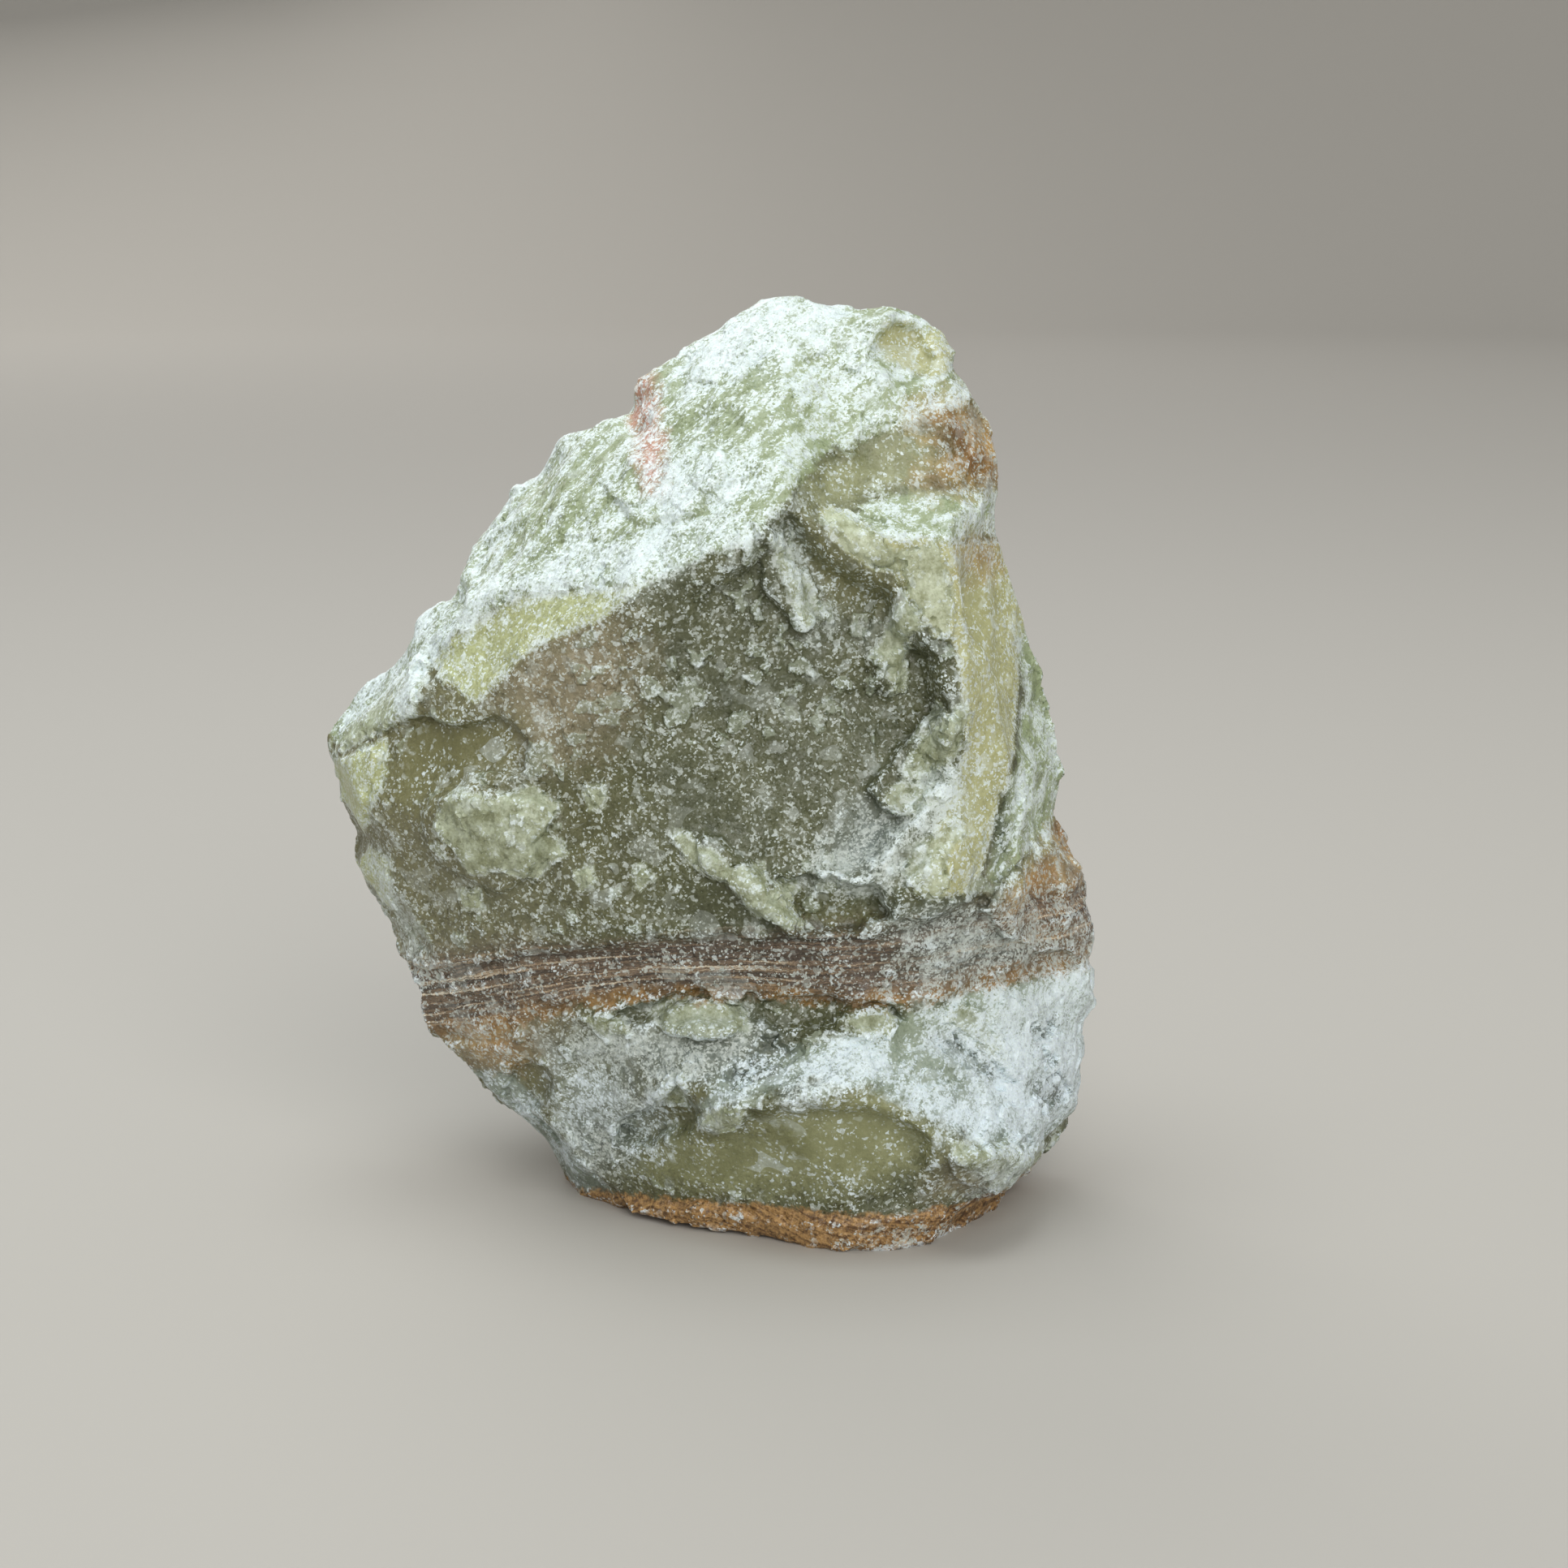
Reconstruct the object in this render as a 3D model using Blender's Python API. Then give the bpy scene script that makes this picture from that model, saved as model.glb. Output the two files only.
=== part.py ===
"""A rough piece of green onyx, the banded calcite that stone carvers call onyx.

It is one stone, as it was broken from its vein: fracture faces that meet at ridges, a wide shell-shaped
hollow on the front, ledges and chips left by the blows, and a base broken along a brown layer, on which
it stands. Lengths are in millimetres and turned to metres at the end. +X is the viewer's right, -Y the
front and +Z up. The origin is the middle of the bounding box's underside.
"""
import math
from collections import namedtuple
import bmesh
import bpy
import numpy as np

MM = 0.001  # metres in a millimetre
NAME = "onyx_stone"
WIDTH = 78.6
HEIGHT = 91.0
DEPTH = 50.0
MIDDLE = np.array([0.0, 0.0, 43.0])  # the point that the spokes leave from, well inside the stone
RIM_DEPTH = 3.0  # the mean y at which the stone is widest
TRIANGLES = 9600  # before the base is cut

# The stone's outline as seen from the front, (x, z), clockwise from the crown. It runs on below the base,
# which is cut flat at z = 0.
OUTLINE = [
    (6, 91), (9, 90.5), (13, 90.5), (19, 92), (24, 88), (25, 84), (28.5, 79), (29.5, 68.5),
    (31.5, 60.5), (33.5, 54.5), (36, 46), (36.5, 38), (38.5, 34), (41, 29), (41, 20.5), (39, 12), (38.5, 8),
    (35, 4), (31, 0), (29, -5), (26, -14), (-5, -14), (-13, -1.5), (-16.5, 4.5), (-25, 11.5), (-29.5, 16),
    (-30.5, 21.5), (-31.5, 27.5), (-36, 33.5), (-35.5, 37), (-37.5, 44.5), (-38, 47), (-34.5, 53),
    (-30.5, 56.5), (-24, 62), (-24, 67.5), (-20, 74), (-15.5, 80), (-6.5, 79), (-3, 83), (-1, 86.5),
    (2, 88),
]
FRONT_SLOPE, BACK_SLOPE = 0.30, 0.42  # how far the sides draw in for each millimetre away from the rim
SIDE_WANDER = 2.2  # how far the sides stray from that

# The ridges and creases of the front, from the top down, each from left to right as (x, y, z).
RIDGES = {
    "crown": [(-39, 4, 48), (-33, 5, 55), (-24, 6, 66), (-14, 6, 79), (-4, 5, 86), (5, 3, 92), (12, 0, 91),
              (18, -3, 91), (25, -3, 84), (29, -3, 75), (32, -1, 62), (36, 2, 50), (40, 4, 40)],
    "upper_ledge": [(-39, 3, 46.2), (-33, 1, 51.5), (-24, -2, 63.5), (-14, -6.5, 72), (-4, -9, 77.5),
                    (4, -14, 78), (8, -18.5, 75.5), (13, -14.5, 73.4), (16, -13, 72.8), (20, -12.3, 73.6),
                    (24, -11, 73.9), (28, -6.5, 72.8), (32, -3, 60), (36, 0, 48), (40, 3.5, 37)],
    "shoulder": [(-38.9, 2, 44.4), (-35.3, -3, 45.7), (-31.5, -6.8, 47.9), (-29.1, -7.6, 51.4),
                 (-27.4, -7.2, 57.2), (-25, -8, 60.6), (-18, -12, 64.4), (-11.7, -15.6, 65.5),
                 (-7, -18.2, 65.7), (-1.5, -20.3, 67.4), (4, -21, 69.4), (8, -20, 73), (12.2, -19.5, 70.3),
                 (20, -18, 69.6), (25.4, -15.5, 69.8), (28, -11, 69), (33, -5, 54), (36, -2, 44),
                 (40, 3, 34)],
    "bevel_foot": [(-38.9, 1.8, 43.8), (-31.5, -7.2, 47.2), (-29.1, -8.8, 50.4), (-27.4, -9.8, 53.8),
                   (-22.7, -12.8, 52.4), (-20.7, -13.9, 54), (-17.4, -16, 57.6), (-14.1, -17.3, 60.2),
                   (-9.7, -19, 62.8), (-5, -20, 65), (4, -21, 68.7), (12.2, -19.5, 69.7), (20, -18, 69),
                   (25.4, -15.6, 69.2), (28, -11, 68.4), (33, -5, 53.4), (36, -2, 43.4), (40, 3, 33.4)],
    "waist": [(-38.9, 1, 41.3), (-32, -7.5, 41.8), (-25, -12, 41.9), (-18.3, -15, 45.7), (-10, -17.5, 48.6),
              (-1.7, -18.5, 51), (6, -19, 52.8), (14, -19.5, 53.6), (21.5, -19.5, 54.4), (25.4, -18.5, 55),
              (29.7, -13, 52.5), (33.5, -6, 48.9), (36, -1, 41), (40, 3, 32)],
    "low_waist": [(-36.5, 1, 34.1), (-30.7, -6.5, 32.4), (-22, -12, 32.9), (-13.7, -16, 34.2),
                  (-5.7, -18.5, 35.2), (2.2, -20, 36.4), (10, -21, 35.8), (17.7, -21.5, 35.9),
                  (24, -20, 36.8), (29.7, -15, 37.6), (35.2, -7, 36.3), (39, 0, 30)],
    "band_foot": [(-29, -3, 18), (-22.6, -8, 18.5), (-15, -12.5, 21.2), (-10, -15, 23.1), (-2, -17.5, 25.2),
                  (6, -19, 24.8), (16.2, -19.5, 24.6), (22.5, -18, 25.6), (30, -13, 26), (38.7, -3, 24.4)],
    "shelf": [(-26.5, -3, 14.6), (-19.5, -6.5, 14.4), (-14.2, -12, 18), (-7.5, -15.5, 19.9),
              (-0.3, -18.5, 21.3), (6.8, -19.5, 21.8), (13, -20, 21.3), (18.6, -19.5, 20.8),
              (24.2, -17.5, 20.5), (31, -13, 20), (38.4, -3, 19)],
    "toe": [(-22.5, -2, 10.4), (-15.5, -7.5, 9), (-9.3, -13.5, 13.2), (-2, -19.5, 16.4), (3.7, -23.5, 15.6),
            (10, -25.5, 16.2), (16.2, -26, 16), (22.4, -25.5, 13), (27.4, -22, 10.4), (33.6, -13, 7.8),
            (37.7, -3, 8.6)],
    "base": [(-15, -4, 0), (-9.8, -8, 0), (-3, -12.3, 0), (2, -14, 0), (6.8, -16, 0), (14.8, -20.4, 0),
             (24.5, -17.5, 0), (28.7, -11.3, 0), (31.8, -1.5, 0), (34, 3, 0)],
}
LEAST_GAP = 0.5  # between one ridge and the next
ABOVE_CROWN, BELOW_BASE = 1.2, 0.35  # how fast the front falls back beyond the first and the last ridge

# The fracture faces of the back and the underside: a point on each, and the way it faces, as degrees round
# from the front (right is positive) and degrees up.
FRACTURES = {
    "back": ((2, 22.5, 40), (188, 4)),
    "back_upper": ((0, 19.5, 70), (170, 36)),
    "back_left": ((-27, 14, 38), (215, 8)),
    "back_right": ((26, 15, 42), (136, -3)),
    "back_lower": ((0, 20, 10), (180, -24)),
    "back_foot_left": ((-16, 9, 8), (232, -28)),
    "back_crown": ((16, 13, 84), (150, 50)),
    "under_right": ((35, 0, 4), (70, -38)),
    "under_left": ((1, -9, 0), (-32, -84)),
}

Feature = namedtuple("Feature", "height edge outline grows", defaults=(None,))

# What the blows took from the front, and what they left standing on it. Each feature has its height
# (negative where it is cut in), the width of its edge, its outline as (x, z) and, where it grows from
# nothing, the line along which it reaches its full height.
RELIEF = {
    # The wide shell-shaped hollow, deepest along its right wall
    "hollow": Feature(-6.5, 1.7, [(2.7, 67.7), (5.7, 70.4), (7.8, 73), (9.9, 72.7), (11.3, 70.7),
        (13, 68.6), (16, 66.5), (18.5, 65.5), (19.8, 62.7), (21.5, 60.1), (23.2, 58.9), (24, 55.1),
        (24.6, 51.9), (24.8, 49.6), (23.9, 46.5), (21.6, 43.1), (18.8, 39.7), (16.3, 37.3), (13, 36.5),
        (8.4, 36.5), (0, 36), (-8, 45), (-6, 60)], grows=((-5, 51), (21, 57))),
    # Where the hollow is cut deepest, low down
    "hollow_foot": Feature(-2.6, 1.3, [(6.1, 37.4), (7.5, 37.9), (9.9, 37.2), (13, 37.4), (17.3, 36.8),
        (18.5, 33.4), (14.6, 31.6), (10.2, 31.6), (8.8, 33.7), (7.2, 35.3)]),
    # A tongue of stone left beside it
    "hollow_tongue": Feature(1.4, 0.9, [(-0.2, 41.9), (2.2, 41), (5.3, 38.6), (6.4, 36.9), (8, 34.1),
        (10.2, 31.6), (8.8, 31.3), (6.1, 33.6), (4.1, 35.6), (1.8, 37), (0.2, 38.6)]),
    # A sliver left standing at the hollow's upper left
    "hollow_sliver": Feature(1.5, 0.8, [(5.3, 71.4), (8, 70.8), (8.6, 67.6), (9.9, 64.9), (11.1, 61.2),
        (9.9, 60.8), (8, 62.2), (6.5, 64.5), (5.7, 67.7)]),
    "hollow_flake": Feature(1, 0.9, [(16.8, 63.3), (18.7, 64), (20.3, 61.3), (19.9, 59), (19, 55.2),
        (17.6, 52.5), (16.5, 56), (15.7, 59.1)]),
    # Plates stacked against the hollow's wall
    "hollow_plates": Feature(2, 1, [(17, 47.1), (19.2, 49.8), (22.3, 52.4), (25, 53.1), (24.6, 50),
        (22.7, 47.4), (21.2, 44.7), (20, 42.8), (17.3, 43.6), (16.1, 45.6)]),
    # A thin curtain at the hollow's upper right
    "curtain": Feature(-1.5, 1.2, [(16.5, 66.8), (21.4, 69.6), (23.4, 67.5), (24.4, 62), (24.2, 58.5),
        (22.4, 60.1), (21.1, 60.9), (19.5, 62.8), (18.5, 65.5)], grows=((24, 64), (17, 65))),
    # A smooth chip by the crown
    "crown_chip": Feature(-2, 2.2, [(16.6, 88.2), (18.9, 89.6), (22.1, 88), (23.5, 85.6), (22.8, 83.4),
        (21.1, 82.6), (18.3, 83.3), (16.5, 85.3)]),
    "shoulder_plate": Feature(1, 0.8, [(-5.9, 76.3), (0.5, 77.8), (3.3, 76.9), (2.6, 74), (-1.7, 71),
        (-5.6, 70.7), (-8.2, 72.6)]),
    "left_recess": Feature(-1.8, 1, [(-31.4, 48.3), (-29.1, 50.6), (-26.2, 51.3), (-22.9, 51.1),
        (-17.9, 51.6), (-15, 49.5), (-17, 46.5), (-22.5, 44.9), (-26, 42.9), (-28.9, 41.3), (-31, 42.3),
        (-32.5, 44.1)], grows=((-24, 42), (-24, 50))),
    "left_facet": Feature(1.3, 0.8, [(-39, 45), (-35.8, 45.8), (-31.7, 47.2), (-32.1, 44.9),
        (-33.3, 41.4), (-35, 36), (-38.5, 38)]),
    # A broad thin flake on the left
    "left_flake": Feature(1.1, 0.8, [(-26.3, 42.9), (-24.6, 44.5), (-21.6, 45.4), (-18.4, 45),
        (-14.2, 43.9), (-13.6, 42.3), (-15.4, 40.2), (-15.3, 38.2), (-17.4, 35.5), (-19.3, 34.2),
        (-21.9, 35), (-25.3, 36.3), (-26.5, 38.3), (-26.8, 40.8)]),
    # The right edge, set back from the column
    "right_strip": Feature(-1.6, 1, [(28.4, 66), (33, 66), (37, 50), (37, 38.5), (33.5, 38),
        (30.8, 40.2), (29.8, 45.4), (29.2, 50.3), (29.1, 56), (28.6, 60.3)]),
    "right_lump": Feature(1.5, 1.1, [(26.6, 34), (28.9, 37.4), (31.5, 38.3), (34.5, 37), (38.5, 34.5),
        (40, 30), (40, 24.1), (32.6, 27.4), (28.2, 30.6)]),
    "column_foot": Feature(1, 1, [(18.5, 36.5), (22, 39.5), (25, 41.5), (26.6, 38), (26, 34.6), (22, 33),
        (18.6, 33.2)]),
    # The brown band, set back a little
    "band": Feature(-0.8, 0.9, [(-34, 24), (-25.8, 25.3), (-18.9, 27.7), (-10.6, 29.5), (-1.8, 31),
        (6.1, 31.4), (17.7, 31.8), (25.6, 33.4), (30.7, 34), (40, 32), (40, 23.7), (29.9, 26),
        (22.5, 25.6), (16.2, 24.6), (10, 24.3), (-1.8, 25.2), (-9.9, 23.1), (-14.9, 21.2), (-18.4, 18.9),
        (-23, 16.6), (-32, 16)]),
    # The undercut below the band
    "band_groove": Feature(-1.7, 0.9, [(-10.5, 20.6), (-9.1, 22.6), (-5.9, 23.9), (-2.3, 25.2),
        (6, 24.9), (13.1, 24.8), (19.4, 24.6), (20.5, 22.6), (18, 21.6), (12.3, 21.9), (4.5, 22.4),
        (-2.7, 21.9)]),
    # Lens-shaped plates in the undercut
    "left_lens": Feature(1.5, 0.8, [(-3.8, 21.5), (-2.5, 23.7), (-0.3, 24.5), (2.5, 24.3), (4.1, 23.2),
        (3.3, 21.6), (-0.3, 21.3)]),
    "right_lens": Feature(1.5, 0.8, [(12.3, 22.5), (14.7, 24.1), (18.2, 24.1), (18.8, 22.4), (17, 21.2),
        (13.9, 21.5)]),
    "round_chip": Feature(-1.8, 1.6, [(-19.5, 14.6), (-17.5, 16.2), (-15.4, 15.6), (-14.4, 13.4),
        (-15.4, 10.9), (-18.7, 8.6), (-20.6, 10.5)]),
    "crescent_chip": Feature(-2.4, 1.4, [(-9.1, 8.1), (-6.9, 12.2), (-3.1, 15.3), (-2, 17.5),
        (-0.6, 15.2), (0.9, 13.3), (-1.4, 10.8), (-5.7, 8)]),
    # The smooth scoop under the toe
    "toe_scoop": Feature(-2.6, 3.2, [(-0.4, 7.7), (1.3, 12.9), (4.1, 15.7), (10.7, 17.4), (14.6, 17.5),
        (17.7, 15.8), (22.4, 13.6), (23.3, 11), (22.6, 8.5), (19.1, 6.3), (13.9, 5), (8.4, 4.2), (2, 4.4)]),
    "toe_plate": Feature(1.4, 0.9, [(22.9, 11.7), (28.7, 10.9), (33.9, 8), (36, 4), (31.6, 1.5),
        (27.3, 5.4), (24.6, 7.9)]),
    # The brown layer that the stone stands on
    "sole": Feature(0.9, 0.8, [(-20, -0.6), (-13.7, 0.6), (-8, 1.8), (-0.5, 2.6), (6.8, 3), (16.3, 3.7),
        (21.9, 4.2), (29, 3.2), (36, 2), (36, -6), (-20, -6)]),
}
BAND_TILT = 0.06  # how much the stone's layers rise for each millimetre to the right
BREAK_SIZE = 21.0  # distance between the large scars on the hidden sides
BREAK_DEPTH = 1.7
CHIP_SIZE = 7.5  # distance between the small scars all round
CHIP_DEPTH = 0.55
TERRACE_SIZE = 9.0  # distance over which the broken faces step up or down by one terrace
TERRACE_STEP = 0.6
LAYER_STEP = 0.55  # how far the thin layers of the brown band stand out


def facing(around, up):
    """The unit vector of a face that looks that many degrees round from the front and that many up."""
    around, up = math.radians(around), math.radians(up)
    return np.array([math.sin(around) * math.cos(up), -math.cos(around) * math.cos(up), math.sin(up)])


def scramble(cells, seed):
    """A repeatable number from 0 to 1 for each whole-numbered cell."""
    mixed = cells @ np.array([127.1, 311.7, 74.7]) + seed * 19.19
    return np.mod(np.sin(mixed) * 43758.5453, 1.0)


def noise(points, size, seed):
    """Smooth noise from -1 to 1 whose lumps are about the given size across."""
    scaled = points / size
    cell = np.floor(scaled)
    part = scaled - cell
    part = part * part * (3 - 2 * part)
    total = np.zeros(len(points))
    for corner in np.ndindex(2, 2, 2):
        weight = np.prod(np.where(corner, part, 1 - part), axis=1)
        total += weight * scramble(cell + corner, seed)
    return total * 2 - 1


def outline_distance(x, z, outline):
    """Signed distance from points to a closed outline in the XZ plane, negative inside."""
    corners = np.array(outline, float)
    nearest = np.full(x.shape, np.inf)
    inside = np.zeros(x.shape, bool)
    for (ax, az), (bx, bz) in zip(corners, np.roll(corners, -1, axis=0)):
        ex, ez = bx - ax, bz - az
        along = np.clip(((x - ax) * ex + (z - az) * ez) / (ex * ex + ez * ez), 0, 1)
        nearest = np.minimum(nearest, np.hypot(x - ax - along * ex, z - az - along * ez))
        crosses = (az > z) != (bz > z)
        inside ^= crosses & (x < ax + (z - az) / (ez if ez else 1.0) * ex)
    return np.where(inside, -nearest, nearest)


def front_depth(x, z):
    """The y of the front at each (x, z): straight faces between the ridges."""
    lines = [np.array(line, float) for line in RIDGES.values()]
    heights = [np.interp(x, line[:, 0], line[:, 2]) for line in lines]
    depths = [np.interp(x, line[:, 0], line[:, 1]) for line in lines]
    found = depths[-1] + BELOW_BASE * np.clip(-z, 0, None)
    for above in range(len(lines) - 1):
        heights[above + 1] = np.minimum(heights[above + 1], heights[above] - LEAST_GAP)
        rise = np.clip((z - heights[above + 1]) / (heights[above] - heights[above + 1]), 0, 1)
        found = found + (depths[above] - depths[above + 1]) * rise
    return found + ABOVE_CROWN * np.clip(z - heights[0], 0, None)


def rim_depth(x, z):
    """The y at which the stone is widest, which wanders as one goes round it."""
    return RIM_DEPTH + 4 * np.sin(z / 17) + 3 * np.sin(x / 11 + 1)


def outside(points):
    """Above zero for each point that lies outside the block that the fractures leave."""
    x, y, z = points.T
    away = y - rim_depth(x, z)
    drawn_in = np.where(away > 0, BACK_SLOPE, FRONT_SLOPE) * np.abs(away)
    drawn_in += SIDE_WANDER * np.clip(np.abs(away) / 8, 0, 1) * noise(points, 9.0, 3)
    distance = np.maximum(outline_distance(x, z, OUTLINE) + drawn_in, front_depth(x, z) - y)
    for place, way in FRACTURES.values():
        distance = np.maximum(distance, (points - place) @ facing(*way))
    return distance


def block_points(directions):
    """Where a spoke in each direction leaves the block. The spokes start on a flat disc inside it."""
    half = np.array([WIDTH, DEPTH, HEIGHT]) / 2
    reach = directions * half
    start = MIDDLE + reach * (0.5, 0.0, 0.5)
    way = reach * (0.5, 1.0, 0.5)
    way /= np.linalg.norm(way, axis=1)[:, None]
    near, far = np.zeros(len(way)), np.full(len(way), 80.0)
    for _ in range(22):
        middle = (near + far) / 2
        out = outside(start + way * middle[:, None]) > 0
        far = np.where(out, middle, far)
        near = np.where(out, near, middle)
    return start + way * near[:, None]


def smooth_step(value):
    value = np.clip(value, 0, 1)
    return value * value * (3 - 2 * value)


def scars(points, size, seed, bowl=0.45, tilt=0.45):
    """The scars of many blows: shallow tilted bowls that meet in sharp ridges, from about -1 to 1."""
    scaled = points / size
    cell = np.floor(scaled)
    lowest = np.full(len(points), np.inf)
    for corner in np.ndindex(3, 3, 3):
        place = cell + np.array(corner) - 1
        drawn = [scramble(place, seed + number) for number in range(7)]
        away = scaled - place - np.stack(drawn[:3], axis=1)
        slope = np.stack(drawn[3:6], axis=1) * 2 - 1
        height = drawn[6] * 0.6 + tilt * np.sum(slope * away, axis=1) + bowl * np.sum(away ** 2, axis=1)
        lowest = np.minimum(lowest, height + 0.6 * np.clip(np.sum(away ** 2, axis=1) - 0.8, 0, None))
    return 3.0 * (lowest - 0.22)


def terraces(points, size, seed):
    """Flat treads joined by short risers, as a break across grains leaves them, from about -2 to 2."""
    height = 1.5 * scars(points * (1.0, 1.0, 1.4), size, seed) + 0.8 * noise(points, size, seed + 9)
    tread = np.floor(height)
    return tread + smooth_step((height - tread - 0.75) / 0.25)


def band_layers(points):
    """Thin layers that stand out and fall back in turn, only where the brown band runs round the stone."""
    level = points[:, 2] - BAND_TILT * points[:, 0] + 0.5 * noise(points, 14.0, 31)
    steps = 0.6 * noise(np.stack([level, points[:, 0] / 9, points[:, 1] / 9], axis=1), 1.3, 32)
    inside = smooth_step((level - 21.5) / 1.5) * smooth_step((31.5 - level) / 1.5)
    return steps * inside


def front_relief(points):
    """How far the front stands out from its straight faces, in millimetres."""
    x, _, z = points.T
    ragged = 0.55 * noise(points, 2.6, 11) + 0.35 * noise(points, 1.2, 12)
    raised = np.zeros(len(points))
    for feature in RELIEF.values():
        amount = smooth_step((ragged - outline_distance(x, z, feature.outline)) / feature.edge)
        if feature.grows:
            (from_x, from_z), (to_x, to_z) = feature.grows
            run_x, run_z = to_x - from_x, to_z - from_z
            along = ((x - from_x) * run_x + (z - from_z) * run_z) / (run_x ** 2 + run_z ** 2)
            amount = amount * np.clip(along, 0, 1.15)
        raised += feature.height * amount
    return raised


def carve(points, normals):
    """The block's points after the chips, scars and ledges are cut into it."""
    seen = smooth_step((-normals[:, 1] - 0.05) / 0.45)
    near_rim = np.exp(-((points[:, 1] - RIM_DEPTH) / 5.0) ** 2)
    hidden = (1 - 0.8 * seen) * (1 - 0.6 * near_rim)
    broken = BREAK_DEPTH * scars(points, BREAK_SIZE, 21) * hidden
    chipped = CHIP_DEPTH * scars(points, CHIP_SIZE, 61, bowl=0.7) * (1 - 0.45 * seen)
    stepped = TERRACE_STEP * terraces(points, TERRACE_SIZE, 41)
    stepped *= smooth_step(noise(points, 17.0, 47) * 2.0 + 0.2) * (1 - 0.5 * seen)
    layers = LAYER_STEP * band_layers(points)
    relief = broken + chipped + stepped + layers + 0.12 * noise(points, 2.2, 51)
    moved = points + normals * relief[:, None]
    moved[:, 1] -= seen * front_relief(points)
    return moved


def clear_scene():
    for leftover in list(bpy.data.objects):
        bpy.data.objects.remove(leftover)


def carved_mesh():
    """The whole stone as a dense closed mesh in metres, running on below the base."""
    shape = bmesh.new()
    bmesh.ops.create_icosphere(shape, subdivisions=7, radius=1.0)
    points = block_points(np.array([vertex.co for vertex in shape.verts]))
    for vertex, place in zip(shape.verts, points):
        vertex.co = place
    shape.normal_update()
    points = carve(points, np.array([vertex.normal for vertex in shape.verts]))
    for vertex, place in zip(shape.verts, points):
        vertex.co = place * MM
    mesh = bpy.data.meshes.new("dense")
    shape.to_mesh(mesh)
    shape.free()
    return mesh


def stand_flat(mesh):
    """Cut the stone flat at z = 0, close the cut and put the origin under the middle of its box."""
    shape = bmesh.new()
    shape.from_mesh(mesh)
    parts = shape.verts[:] + shape.edges[:] + shape.faces[:]
    cut = bmesh.ops.bisect_plane(shape, geom=parts, plane_co=(0, 0, 0), plane_no=(0, 0, -1),
                                 clear_outer=True)
    rim = [part for part in cut["geom_cut"] if isinstance(part, bmesh.types.BMEdge)]
    bmesh.ops.contextual_create(shape, geom=rim)
    bmesh.ops.triangulate(shape, faces=[face for face in shape.faces if len(face.verts) > 3])
    bmesh.ops.recalc_face_normals(shape, faces=shape.faces[:])
    places = np.array([vertex.co for vertex in shape.verts])
    middle = (places.min(axis=0) + places.max(axis=0)) / 2
    for vertex in shape.verts:
        vertex.co.x -= middle[0]
        vertex.co.y -= middle[1]
    shape.to_mesh(mesh)
    shape.free()


def onyx_material():
    material = bpy.data.materials.new("green_onyx")
    material.use_nodes = True
    surface = material.node_tree.nodes["Principled BSDF"]
    surface.inputs["Base Color"].default_value = (0.36, 0.40, 0.26, 1.0)
    surface.inputs["Roughness"].default_value = 0.55
    surface.inputs["Metallic"].default_value = 0.0
    return material


def main():
    clear_scene()
    collection = bpy.data.collections.new("rough_green_onyx")
    bpy.context.scene.collection.children.link(collection)
    dense = carved_mesh()
    stone = bpy.data.objects.new(NAME, dense)
    collection.objects.link(stone)
    facets = stone.modifiers.new("facets", "DECIMATE")
    facets.ratio = TRIANGLES / len(dense.polygons)
    faceted = bpy.data.meshes.new_from_object(stone.evaluated_get(bpy.context.evaluated_depsgraph_get()))
    stone.modifiers.clear()
    faceted.name = NAME
    stand_flat(faceted)
    stone.data = faceted
    bpy.data.meshes.remove(dense)
    stone.data.materials.append(onyx_material())


main()
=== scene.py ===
"""The looks of a rough piece of green onyx: its broken faces, grain, brown layers, frost and waxy chips."""
import math
from collections import namedtuple

import bmesh
import bpy
import numpy as np
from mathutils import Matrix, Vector


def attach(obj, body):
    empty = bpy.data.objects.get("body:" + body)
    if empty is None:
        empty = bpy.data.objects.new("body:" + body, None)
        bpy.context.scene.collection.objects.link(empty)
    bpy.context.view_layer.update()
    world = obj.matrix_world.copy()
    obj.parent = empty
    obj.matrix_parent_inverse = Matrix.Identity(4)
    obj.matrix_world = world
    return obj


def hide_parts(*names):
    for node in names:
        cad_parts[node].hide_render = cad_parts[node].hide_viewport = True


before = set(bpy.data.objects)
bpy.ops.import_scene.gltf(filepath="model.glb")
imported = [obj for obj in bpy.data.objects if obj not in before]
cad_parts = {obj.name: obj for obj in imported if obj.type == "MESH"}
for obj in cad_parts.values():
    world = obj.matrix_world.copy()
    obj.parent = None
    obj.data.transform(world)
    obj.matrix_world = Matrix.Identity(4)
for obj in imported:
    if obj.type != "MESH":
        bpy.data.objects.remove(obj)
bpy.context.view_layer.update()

# ---------------------------------------------------------------------------------------------------
# The stone. Onyx is calcite in interlocking grains of half a millimetre to a few millimetres, laid down
# in layers. Blows broke it from its vein: smooth and shell-shaped where a break runs through fine layers,
# crumbly, stepped and scabbed with thin flakes where it runs between coarse grains.
# ---------------------------------------------------------------------------------------------------
MM = 0.001  # metres in a millimetre
WIDTH, DEPTH, HEIGHT = 78.6, 50.0, 91.0
MIDDLE = np.array([0.0, 0.0, 43.0])  # the point that the spokes leave from, well inside the stone
RIM_DEPTH = 3.0  # the mean y at which the stone is widest
SHIFT = (0.953, 0.937, 0.0)  # where the solid's box has its middle before it is centred
VOXEL = 0.32  # spacing of the surface's points while it is worked
TRIANGLES = 192000  # what the surface is thinned out to once it is worked

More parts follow.
